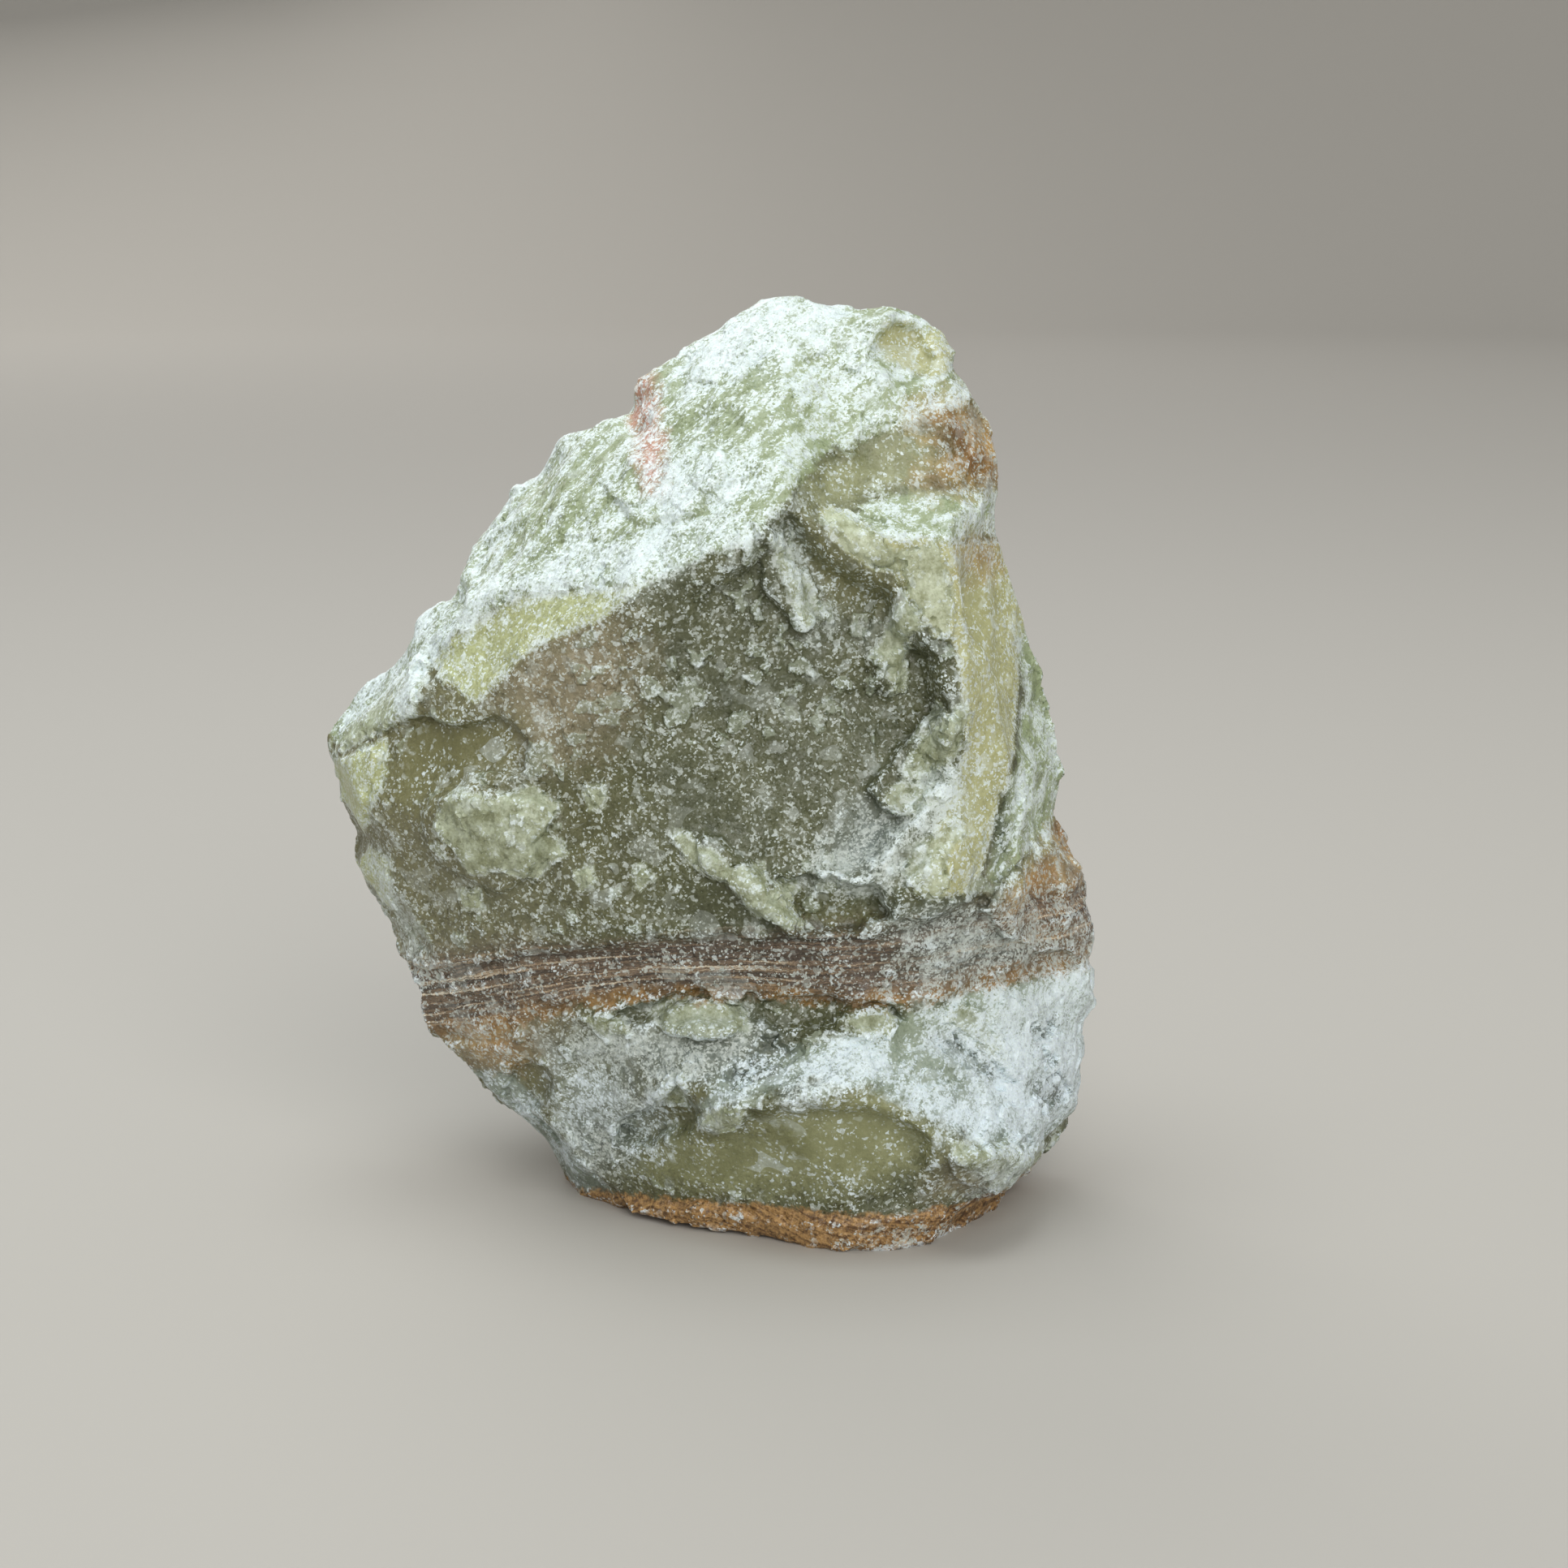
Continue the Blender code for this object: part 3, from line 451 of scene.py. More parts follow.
# Each finish is painted where these outlines lie on the front, as (x, z) in millimetres. Elsewhere, on the
# sides and back, it follows the way a face looks and slow noise.
PATCHES = {
    # Rough crystalline faces that a blow left white, like frost
    "frost": [
        [(-39, 47), (-40, 60), (-27, 70), (-14, 84), (-3, 92), (16, 93), (13.5, 86.5), (14.5, 83),
         (13, 79), (9, 75), (4, 69.5), (-1.5, 67.5), (-7, 65), (-18.5, 63.5), (-25, 59), (-27.5, 56),
         (-29, 51)],
        [(13, 71), (15.5, 72.5), (20, 73.5), (30, 73), (30, 67.5), (20, 69.5), (14.5, 69)],
        [(18.5, 23), (26, 25), (40, 24), (40, 6), (34, 6), (25.5, 12), (21, 14.5), (16, 17.5),
         (10.5, 18.5), (4, 16.5), (-2, 13.5), (2, 19), (7, 20.5), (13, 21.5)],
        [(29.5, 66), (34, 62), (37, 45), (35.5, 37), (31, 35), (27, 36), (28.5, 43), (30, 47), (31.5, 52),
         (30.5, 58)],
        [(12, 93), (20, 92), (26, 87), (28.5, 81.5), (25, 81.2), (21, 80.4), (17, 79), (13, 77.5),
         (11, 80)],
        [(-25, 13), (-14, 0), (-10, 1.5), (-18, 11), (-21, 14.5)],
    ],
    # The whitest of it: bruised ridges, and ledges that look up, where the white is partly painted light
    # from above
    "snow": [
        [(-29, 51), (-27.5, 56), (-25, 59), (-18.5, 63.5), (-7, 65), (-1.5, 67.5), (4, 70), (2, 72),
         (-6, 70), (-16, 67), (-24, 63), (-29, 58), (-32, 53)],
        [(-39, 50), (-35, 56), (-29, 65), (-22, 74), (-17, 79), (-14, 78), (-20, 69), (-27, 60), (-33, 52)],
        [(-6, 76.5), (0, 78), (4, 77), (3, 74), (-2, 71.5), (-7, 72)],
        [(2, 92), (16, 92), (13, 87), (6, 85), (-2, 84), (-4, 87)],
        [(7, 17.5), (9.5, 19), (12.5, 20.5), (17, 20), (17.5, 19), (12.5, 18), (9.5, 16), (7.5, 16)],
        [(21.5, 15), (24, 16), (27.5, 15.5), (33.5, 11.5), (34, 6), (30, 10.5), (26.5, 11.5), (22.5, 13.5)],
        [(22, 24.5), (40, 24), (40, 17), (37, 16), (35, 21), (30, 21.5), (26, 24)],
        [(25, 17.5), (29, 20), (31.5, 17.5), (32, 14.5), (36, 9), (34, 8), (29, 13), (25, 15)],
        [(24, 23), (40, 24), (40, 8), (36, 9), (31, 14.5), (25, 18), (21, 21)],
        [(10, 39.5), (13.5, 37.5), (15.5, 36.5), (17.5, 38.5), (17.5, 37), (15.5, 35), (12.5, 36),
         (10.5, 37.5)],
        [(-13, 18.5), (-7, 20), (-6, 19), (-9, 18), (-13, 17.5)],
        [(-6.5, 13.5), (-5, 17), (-2, 18.5), (-1.5, 17), (-4, 15.5), (-5, 13)],
        [(6.5, 71), (8.5, 68.5), (10.5, 64), (11.5, 62), (10, 61), (9, 63), (7.5, 67)],
        [(-35, 36), (-33, 36), (-28, 24), (-30, 22)],
        [(11, -1), (12, 0.6), (17, 1.4), (23, 1.6), (24, -1)],
        [(25.5, 3.5), (32, 3), (33.5, 6.5), (29.5, 9.5), (26, 9), (27.5, 6)],
        [(19, 47), (24, 48), (25, 43), (20, 41.5)],
    ],
    # Smooth waxy chips where the green turns yellow
    "yellow": [
        [(-27.5, 56), (-25.5, 59), (-18, 63.5), (-11.5, 64.5), (-5, 66), (-10, 62), (-16.5, 59),
         (-21, 54.5), (-22.5, 53)],
        [(-40, 45), (-35.5, 46.5), (-32, 48.5), (-32, 45.5), (-35, 37.5), (-38.5, 40)],
        [(15.8, 87.3), (17, 89.3), (19.8, 89.6), (22, 88), (24, 86), (24.5, 84), (21.6, 83.2),
         (18.5, 84.4), (16.5, 85.6)],
        [(21.5, 69.5), (30, 67), (31, 59.5), (30.5, 52), (29, 45.5), (27, 40), (25.5, 35.5), (20.5, 36),
         (21.5, 42), (24.5, 49), (24, 57), (22.5, 62)],
        [(-38, 36), (-34.5, 36.5), (-32, 36), (-32, 30), (-34, 30), (-37, 32.5)],
        [(10.5, 72.5), (13, 72), (17, 70), (23, 69.5), (23.5, 64.5), (23, 60), (21.5, 60.5), (19, 64),
         (18, 66), (14, 67.5), (11.5, 70)],
    ],
    # Pale plates that still cling to the face
    "pale": [
        [(-26, 43.5), (-24, 45), (-20, 44.6), (-17, 45.8), (-14, 43.5), (-15.2, 41.5), (-13.5, 39),
         (-15.5, 37.5), (-17, 35.5), (-20, 37), (-23.5, 36), (-25, 38.5), (-27, 40.5)],
        [(-13, 37), (-11.6, 38.2), (-10.5, 36.5), (-12.2, 35)],
        [(-25, 34), (-22.5, 34.6), (-22, 32.3), (-24.2, 31.6)],
        [(-12, 45.5), (-10, 46), (-9.8, 43.6), (-11.5, 43)],
        [(-7.5, 37.5), (-6, 38.6), (-5, 36.8), (-6.6, 35.4)],
        [(5.5, 71), (7.5, 69), (8.5, 67), (9.5, 66), (10.5, 64), (11.5, 62), (10, 61), (9, 61), (8, 63),
         (6.5, 67.5)],
        [(18, 63.5), (19, 64), (20.5, 61.5), (19, 59), (19, 54.5), (17.5, 54.5), (17, 57), (15.5, 58),
         (17, 61)],
        [(18.5, 47), (19.5, 49.5), (24, 54), (25, 53), (24.5, 50.5), (23.5, 48), (20, 46)],
        [(16.5, 45), (18.5, 46.5), (21, 46), (23, 46), (23, 45), (19, 43), (17.5, 43.5)],
        [(18.5, 37.5), (19, 40.5), (22, 42), (23, 43), (25, 41.5), (23, 40), (23, 36.5), (22, 35),
         (20, 36)],
        [(18, 68), (21.5, 69.5), (22, 68.5), (23.5, 64.5), (23, 60), (21.5, 60.5), (19, 64), (18.5, 66)],
        [(11, 72), (13, 72), (16.5, 70), (18, 68), (18.5, 66), (16.5, 66.5), (13.5, 68), (11.5, 70.5)],
        [(-6, 22.5), (-3, 24.5), (2.5, 24.5), (4, 23), (4, 21.5), (-4, 21)],
        [(12.5, 23), (15, 24), (17.5, 24), (18.5, 22.5), (17.5, 21), (14, 22)],
        [(-13, 22), (-10.5, 22.5), (-8, 22), (-7.5, 20.5), (-10, 19.5)],
        [(23, 23.5), (24.5, 24), (27, 22.5), (28, 20.5), (29.5, 18.5), (29.5, 17), (27, 18.5), (23, 22)],
        [(23, 12.5), (27.5, 11), (29, 11), (33.5, 7), (34.5, 3), (29.5, 1.5), (26.5, 8), (24, 10)],
        [(-4, 17), (-2, 18.5), (-2, 16.5), (-2.5, 13.5), (-5, 13), (-6.5, 13), (-5.5, 15)],
        [(-1, 13), (1, 15.5), (4, 16), (3.5, 14), (2.5, 12), (-1, 12)],
        [(-36.5, 50), (-33.5, 52), (-30.5, 54.5), (-28.5, 56), (-27.5, 55), (-29, 51.5), (-32, 49),
         (-37.5, 46.5)],
        [(6, 36.5), (7.5, 37.5), (8.5, 36), (8, 34), (7, 34.5)],
        [(-4, 42.5), (0.5, 40), (2.5, 38.5), (5.5, 38.5), (6, 37), (10, 32), (8, 32.5), (4.5, 33.5),
         (2, 36.5), (-2, 38.5)],
    ],
    # Clear dark olive, where the break is deep and clean
    "deep": [
        [(-31, 48.5), (-29, 51), (-24.5, 51.5), (-17.5, 52), (-18.5, 48), (-21.5, 46), (-26, 44),
         (-29, 42), (-32, 42)],
        [(7.5, 35), (11, 33.5), (15, 34), (17, 32.5), (11, 32), (9.5, 32.5)],
        [(8.5, 73), (11, 71), (13, 68.5), (18.5, 65.5), (20, 62.5), (17, 63), (11.5, 63), (9, 67)],
        [(-8.5, 9), (-7.5, 11.5), (-6, 13), (-3, 13), (-2, 17), (1.5, 17), (-1, 13.5), (-3, 11),
         (-5.5, 9.5)],
        [(-20.5, 13), (-18.5, 15.5), (-15, 17), (-14, 14.5), (-16, 11.5), (-19.5, 10.5)],
        [(8, 14), (12, 16.5), (16, 16), (20, 12), (16, 9), (11, 10)],
    ],
    # Smooth olive green under the toe
    "olive": [
        [(5.5, 16), (8, 15.5), (10.5, 17.5), (14, 18), (17, 17.5), (19, 15.5), (23, 13.5), (23, 11.5),
         (19.5, 8.5), (15, 6.5), (5, 4.5), (-6, 4), (-9, 5), (-7, 8.5), (-1, 12), (3.5, 13)],
        [(-14, 16), (-10, 17), (-8, 12), (-13, 9), (-17, 9)],
        [(8.5, 74.5), (13, 77), (18, 80), (23.5, 76.5), (25, 74), (16, 73), (13, 71.5), (10.5, 72.5)],
    ],
    # Dull blue-grey stone, seen where the frost is thin
    "grey": [
        [(-16.5, 18), (-7.5, 20.5), (4, 21.5), (5, 20.5), (1.5, 18), (-3, 18.5), (-12, 17)],
        [(18.5, 33), (24, 33.5), (30, 32), (34.5, 28), (39, 24), (30, 26.5), (21, 26), (18.5, 29.5)],
        [(12, 40), (15, 43.5), (18.5, 43), (19, 40), (16, 37.5), (12, 38)],
        [(-15, 16.5), (-8, 17), (-5, 11), (-9, 6), (-13, 5), (-16, 9)],
    ],
    # Cracks and pits between the white grains, darkened with painted shade
    "gap": [
        [(21.5, 20.5), (23.5, 21), (25, 20), (26.5, 18.5), (29.5, 16.5), (32, 14.5), (28.5, 15.5),
         (24.5, 18.5)],
        [(31, 20.5), (34.5, 19.5), (35.5, 18.5), (33.5, 18), (35, 15.5), (34, 15), (32.5, 17.5)],
        [(32, 14), (35, 14.5), (37, 11), (36, 10), (33, 11.5)],
        [(2.5, 17), (1.5, 18), (3.5, 19), (5, 21), (7, 21.5), (9, 20.5), (8, 19.5), (6, 18.5), (4.5, 18)],
        [(26, 34), (29, 37.5), (32, 37), (29.5, 36.5), (27, 33.5)],
        [(28, 45), (29, 44), (29, 38.5), (28, 38)],
    ],
    # Iron stain, from brown to rust
    "rust": [
        [(20, 80.5), (22, 81.5), (25, 81), (30, 79), (30, 73), (25.5, 73.5), (21, 74.5), (23.5, 77.5)],
        [(25, 68.5), (28, 67.5), (28.5, 65.5), (27, 65), (25.5, 66)],
        [(30.5, 36), (34, 36.5), (38.5, 31.5), (38.5, 26), (34, 28), (28.5, 32.5)],
        [(-22, 20.5), (-19, 17.5), (-20, 15.5), (-24, 15.5), (-25, 19.5)],
    ],
    "brown": [
        [(-20.5, 53.5), (-18, 59.5), (-13, 61.5), (-8.5, 62), (-6, 59), (-8, 53), (-12, 48.5),
         (-16.5, 48.5), (-20, 50.5)],
        [(26.5, 34), (29.5, 38), (34, 36.5), (40, 34), (40, 24), (33.5, 25), (28.5, 27.5)],
        [(-34, 25), (-18.5, 28.5), (-14, 22.5), (-16, 17), (-22, 13), (-30, 14)],
        [(23, 9), (25, 8.5), (27.5, 6.5), (26, 5), (22, 6)],
    ],
    # A thin pink vein
    "pink": [
        [(-8, 84), (-5.5, 84), (-4.5, 78), (-4, 74), (-6, 73.5), (-7, 76.5), (-7, 79)],
    ],
}
REACH = 5.0  # how far inside or outside an outline a finish is still told apart
FRONT_END, FRONT_FADE = 5.5, 4.0  # the mean y at which the front's finishes end, and the passage's width
FRONT_WANDER = 7.0  # how far that line strays
SIDE_START, SIDE_REACH = -6.0, 6.0  # the y's between which outlines begin to wander and wander fully
OUTLINE_WANDER = 6.0

# How each finish is spread over the hidden sides: its level, how much more of it lies on what looks up (for
# frost and snow this is painted light from above), and the strength, size and seed of its patches
HIDDEN_SPREAD = {
    "frost": (-0.9, 4.5, 2.5, 16.0, 81),
    "snow": (-3.7, 4.0, 3.0, 12.0, 82),
    "yellow": (-2.0, 0.0, -3.0, 19.0, 83),
    "olive": (-1.0, 0.0, 3.0, 15.0, 85),
    "pale": (-2.0, 0.0, 4.0, 7.0, 87),
    "gap": (-4.5, 0.0, 5.0, 5.0, 89),
    "grey": (-2.0, 0.0, 4.0, 14.0, 90),
}

# The brown band's upper and lower edge and the top of the brown bottom layer, as (x, z)
BAND_TOP = [(-31, 25), (-18.5, 29), (-6, 30.5), (2, 31.5), (10, 32), (17.5, 32.5), (25.5, 33.5),
            (37.5, 32.5)]
BAND_FOOT = [(-28.5, 17), (-19, 20), (-14, 22.5), (-6, 24.5), (2, 25), (10, 24.5), (18, 24.5), (26, 25),
             (39, 24)]
SOLE_TOP = [(-14, 0.5), (-8, 2.5), (0, 3.5), (7, 4), (16, 4), (22, 4.5), (29, 3)]


def across(x, line):
    """The height of a line drawn across the front, at each x."""
    line = np.array(line, float)
    return np.interp(x, line[:, 0], line[:, 1])


def on_front(points):
    """1 on the front and 0 on the back, with a short passage over the rim."""
    end = FRONT_END + FRONT_WANDER * noise(points, 9.0, 95)
    return smooth_step((end - points[:, 1]) / FRONT_FADE)


def painted(points, name):
    """How far inside the nearest outline of a finish each point is, in mm, negative outside. Round on the
    sides, where they can't be seen from the front, the outlines wander."""
    x, y, z = points.T
    wander = OUTLINE_WANDER * smooth_step((y - SIDE_START) / (SIDE_REACH - SIDE_START))
    x, z = x + wander * noise(points, 6.0, 96), z + wander * noise(points, 6.0, 97)
    inside = np.max([-outline_distance(x, z, outline) for outline in PATCHES[name]], axis=0)
    front = on_front(points)
    return np.clip(inside, -REACH, REACH) * front - REACH * (1 - front)


def cleanness(points):
    """1 inside the clean chips and 0 a little outside them."""
    inside = np.max([painted(points, name) for name in ("yellow", "deep", "olive")], axis=0)
    return smooth_step((inside + 0.5) / 2.5)


def frosting(points):
    """1 on the frosted faces and 0 a little outside them."""
    return smooth_step((painted(points, "frost") + 1) / 2)


SCAB_SIZE, SCAB_HEIGHT = 1.7, 0.25  # mm, how wide and how thick a flake is


def scabs(points):
    """1 on the thin flakes that still cling here and there to the dark face, 0 between them."""
    grown = plates(points, SCAB_SIZE, 151)[1] + 0.35 * noise(points, 9.0, 152)
    dark = on_front(points) * (1 - cleanness(points)) * (1 - frosting(points))
    return smooth_step((grown - 0.87) / 0.03) * dark


# The block is grown from a ball, and its surface is evened out before and after it is carved
shape = bmesh.new()
bmesh.ops.create_icosphere(shape, subdivisions=7, radius=1.0)
block = block_points(np.array([vertex.co for vertex in shape.verts]))
for vertex, spot in zip(shape.verts, block):
    vertex.co = spot * MM
block_mesh = bpy.data.meshes.new("block")
shape.to_mesh(block_mesh)
shape.free()
stone = bpy.data.objects.new("rough_onyx", block_mesh)
bpy.context.scene.collection.objects.link(stone)
stone.data = applied(stone, "REMESH", mode="VOXEL", voxel_size=VOXEL * MM)
normals = unit(soften(mesh_normals(stone.data), mesh_edges(stone.data), 2))
move_to(stone.data, carve(mesh_points(stone.data), normals) - SHIFT)
stone.data = applied(stone, "REMESH", mode="VOXEL", voxel_size=VOXEL * MM)

# The clean chips are smooth
edges = mesh_edges(stone.data)
points = mesh_points(stone.data)
clean = cleanness(points)
points = points + 0.8 * clean[:, None] * (soften(points, edges, 12) - points)
normals = unit(soften(mesh_normals(stone.data), edges, 2))

# Everywhere else the break left small plates, each (size, height) in mm, and finishes that stand out or are
# cut in. Grains break off whole, so every outline steps round them.
even = np.maximum(clean, smooth_step(painted(points, "pale") / 0.6))
rough = (0.5 + 0.5 * frosting(points) + 0.1 * (1 - on_front(points))) * (1 - 0.8 * even)
jagged = plates(points, 1.6, 131)[1] - 0.5
relief = SCAB_HEIGHT * scabs(points)
for size, height, seed in ((7.0, 0.34, 71), (2.6, 0.18, 101), (1.1, 0.08, 111)):
    relief += height * rough * (plates(streaked(points, 0.3), size, seed)[0] - 0.5)
for name, height in (("pale", 0.4), ("snow", 0.15), ("gap", -0.7)):
    relief += height * smooth_step((painted(points, name) + 1.1 * jagged) / 0.35)

# An edge that is sharp already has no room for more, and the sharpest points are worn down
bend = np.abs(np.sum((points - soften(points, edges, 8)) * normals, axis=1))
relief *= 1 - 0.8 * smooth_step((bend - 0.2) / 0.4)
points = points + normals * relief[:, None]
sharp = np.sum((points - soften(points, edges, 4)) * normals, axis=1)
points += smooth_step((sharp - 0.12) / 0.25)[:, None] * (soften(points, edges, 2) - points)
move_to(stone.data, points)
count = sum(len(face.vertices) - 2 for face in stone.data.polygons)
if count > TRIANGLES:
    stone.data = applied(stone, "DECIMATE", ratio=TRIANGLES / count)
cut_base(stone.data)
stone.data.polygons.foreach_set("use_smooth", np.ones(len(stone.data.polygons), bool))
stone.data.set_sharp_from_angle(angle=math.radians(32))

# Each point of the surface keeps how far inside each finish it lies, for the material
points, normals, edges = mesh_points(stone.data), mesh_normals(stone.data), mesh_edges(stone.data)
bulge = np.sum((points - soften(points, edges, 8)) * normals, axis=1)
upward = unit(soften(normals, edges, 25))[:, 2]
x, _, z = points.T
hidden = 1 - on_front(points)
foot, top = across(x, BAND_FOOT), across(x, BAND_TOP)
kept = {name: painted(points, name) for name in PATCHES}
for name, (level, rise, patchy, size, seed) in HIDDEN_SPREAD.items():
    kept[name] += hidden * (REACH + level + rise * upward + patchy * noise(points, size, seed))
# Painted shade: the dark olive is kept off hidden faces that look up, so that it stays on those that look
# down
kept["olive"] -= 4.0 * hidden * np.clip(upward, 0, 1)
kept["frost"] = np.minimum(kept["frost"], 0.4 - kept["yellow"])  # a waxy chip is clear of frost
kept["band"] = (z - foot) / (top - foot)
kept["sole"] = across(x, SOLE_TOP) - z + 1.5 * hidden * noise(points, 6.0, 91)
kept["scab"] = scabs(points)
kept["edge"] = np.clip(bulge / 0.22, -1, 1)
for name, values in kept.items():
    layer = stone.data.attributes.new(name, "FLOAT", "POINT")
    layer.data.foreach_set("value", values.astype(np.float32))

# Green onyx: pale to olive translucent calcite. Broken grains scatter white, so it looks salted, and it is
# waxy where a chip is clean. Iron coloured some of its layers brown and orange.
onyx = bpy.data.materials.new("broken_green_onyx")
onyx.use_nodes = True
tree = onyx.node_tree
tree.nodes.clear()


def linear(code):
    """A colour given as sRGB hex, in the linear values that a shader takes."""
    parts = [int(code[i:i + 2], 16) / 255 for i in (1, 3, 5)]
    return tuple(p / 12.92 if p <= 0.04045 else ((p + 0.055) / 1.055) ** 2.4 for p in parts) + (1.0,)


def node(kind, *values, **settings):
    """Add a node. Values fill its inputs in order, or by name where they come in a dict. A value may be a
    number, a hex colour, a node, whose first output is meant, or one of a node's outputs."""
    made = tree.nodes.new("ShaderNode" + kind)
    for name, setting in settings.items():
        setattr(made, name, setting)
    for position, value in enumerate(values):
        for name, one in (value.items() if isinstance(value, dict) else [(position, value)]):
            if isinstance(one, bpy.types.Node):
                one = one.outputs[0]
            if isinstance(one, bpy.types.NodeSocket):
                tree.links.new(one, made.inputs[name])
            else:
                made.inputs[name].default_value = linear(one) if isinstance(one, str) else one
    return made


place = node("VectorMath", {0: node("TexCoord").outputs["Object"], "Scale": 1 / MM}, operation="SCALE")
along = node("VectorMath", place, STREAK, operation="DOT_PRODUCT").outputs["Value"]
drawn_out = node("VectorMath", {0: STREAK, "Scale": along}, operation="SCALE")
drawn_out = node("VectorMath", drawn_out, (-0.75,) * 3, place, operation="MULTIPLY_ADD")

# The variations that everything is mottled by, each with its size in mm. The streaks lie along the grain.
clouds = {}
for name, where, size, detail, harsh in (
    ("slow", place, 13.0, 3.0, 0.5),
    ("middle", place, 4.5, 3.0, 0.6),
    ("ragged", place, 1.6, 5.0, 0.7),
    ("streaks", drawn_out, 2.4, 6.0, 0.68),
    ("fine", place, 0.4, 3.0, 0.6),
):
    settings = {"Vector": where, "Scale": 1 / size, "Detail": detail, "Roughness": harsh}
    clouds[name] = node("TexNoise", settings)
held = {name: node("Attribute", attribute_name=name).outputs["Fac"] for name in kept}
ragged = node("Math", clouds["ragged"], 0.5, operation="SUBTRACT")

# Where each finish lies: how far its ragged edge strays, and how soft that edge is, in mm
inside = {}
for name, raggedness, soft in (
    ("frost", 3.0, 0.4), ("snow", 9.0, 1.5), ("pale", 2.0, 0.25), ("yellow", 1.5, 0.3), ("deep", 4.0, 1.6),
    ("olive", 5.0, 1.6), ("grey", 8.0, 2.5), ("gap", 5.0, 0.8), ("brown", 8.0, 3.0), ("rust", 7.0, 2.5),
    ("pink", 4.0, 1.0), ("sole", 2.5, 0.3),
):
    edge = node("Math", ragged, raggedness, held[name], operation="MULTIPLY_ADD")
    inside[name] = node("MapRange", edge, -soft, soft)

# A white line runs round the plates and waxy chips, where their edges are bruised. The clean chips have few
# grains, and fewest at heart.
rim = node("Math", held["pale"], held["yellow"], operation="MAXIMUM")
rim = node("Math", ragged, 2.0, rim, operation="MULTIPLY_ADD")
rim = node("Math", node("MapRange", rim, -0.15, 0.05), node("MapRange", rim, 0.45, 0.2),
           operation="MULTIPLY")
heart = node("Math", held["olive"], held["deep"], operation="MAXIMUM")
heart = node("Math", held["yellow"], heart, operation="MAXIMUM")
clean = node("MapRange", node("Math", ragged, 3.0, heart, operation="MULTIPLY_ADD"), -1.0, 1.5)
heart = node("MapRange", node("Math", ragged, 5.0, heart, operation="MULTIPLY_ADD"), 0.0, 4.5)

# The clear green under everything, from dark olive to grey green, and what is laid into it
thin = node("MapRange", clouds["streaks"], 0.34, 0.64)
slow = node("MapRange", clouds["slow"], 0.36, 0.64)
mottle = node("MapRange", clouds["middle"], 0.3, 0.7)
crumbs = node("MapRange", clouds["ragged"], 0.38, 0.6)
axes = node("SeparateXYZ", place)
leftward = node("MapRange", axes.outputs[0], -2.0, -30.0, 0.0, 0.45)
rightward = node("MapRange", axes.outputs[0], -5.0, 20.0)
low = node("MapRange", axes.outputs[2], 34.0, 14.0)
tones = {}
for name, share, first, second in (
    ("dark", mottle, "#43462a", "#5a5d3b"),
    ("dull", mottle, "#4f543f", "#65684e"),
    ("green", thin, "#8a9770", "#a9b598"),
    ("glassy", mottle, "#74764e", "#959872"),
    ("blue", mottle, "#76817d", "#a0aba9"),
    ("waxy", rightward, "#bdc596", "#b6b78a"),
    ("plate", crumbs, "#878d6d", "#b8c1a8"),
    ("snow", low, "#b4c1b8", "#c3d0d6"),
    ("iron", mottle, "#7c5227", "#c7a263"),
):
    tones[name] = node("Mix", {0: share, 6: first, 7: second}, data_type="RGBA").outputs[2]
colour = node("Mix", {0: slow, 6: tones["dark"], 7: tones["dull"]}, data_type="RGBA").outputs[2]
scab = node("MapRange", node("Math", ragged, 0.8, held["scab"], operation="MULTIPLY_ADD"), 0.4, 0.6)
for under, over, share, strength in (
    ("green", tones["blue"], low, 0.75),
    ("waxy", "#94935f", thin, 0.5),
):
    share = node("Math", share, strength, operation="MULTIPLY")
    tones[under] = node("Mix", {0: share, 6: tones[under], 7: over}, data_type="RGBA").outputs[2]
for over, share, strength in (
    ("#8b8561", leftward, 1.0),
    ("#968c73", inside["brown"], 0.75),
    ("#75744d", inside["deep"], 0.75),
    (tones["glassy"], inside["olive"], 0.9),
    (tones["waxy"], inside["yellow"], 0.92),
    (tones["green"], inside["frost"], 0.9),
    ("#9aa490", scab, 0.5),
    (tones["plate"], inside["pale"], 0.8),
    (tones["blue"], inside["grey"], 0.75),
    (tones["snow"], inside["snow"], 0.4),
    (tones["iron"], inside["rust"], 0.85),
    ("#c08a78", inside["pink"], 0.85),
):
    share = node("Math", share, strength, operation="MULTIPLY")
    colour = node("Mix", {0: share, 6: colour, 7: over}, data_type="RGBA").outputs[2]

# The brown band: thin layers laid down one on another
level = node("Math", ragged, 0.06, held["band"], operation="MULTIPLY_ADD")
level = node("Math", clouds["fine"], 0.04, level, operation="MULTIPLY_ADD")
layered = node("CombineXYZ", node("Math", axes.outputs[0], 0.02, operation="MULTIPLY"),
               node("Math", axes.outputs[1], 0.02, operation="MULTIPLY"),
               node("Math", level, 9.0, operation="MULTIPLY"))
stripe = node("TexNoise", {"Vector": layered, "Scale": 1.2, "Detail": 4.0, "Roughness": 0.8})
band_colour = node("ValToRGB", node("MapRange", stripe, 0.36, 0.64))
stops = band_colour.color_ramp.elements
stops[0].color, stops[1].color = linear("#1f1917"), linear("#d6cbb6")
for spot, code in ((0.22, "#3a2f2a"), (0.36, "#5f4f42"), (0.46, "#2b2421"), (0.58, "#86705a"),
                   (0.7, "#453934"), (0.84, "#a58d70")):
    stops.new(spot).color = linear(code)
edge = node("Math", ragged, 0.6, held["band"], operation="MULTIPLY_ADD")
in_band = node("Math", node("MapRange", edge, -0.06, 0.06), node("MapRange", edge, 1.15, 0.85),
               operation="MULTIPLY")
in_band = node("Math", in_band, node("MapRange", inside["grey"], 0, 1, 0.92, 0.5), operation="MULTIPLY")
colour = node("Mix", {0: in_band, 6: colour, 7: band_colour}, data_type="RGBA").outputs[2]
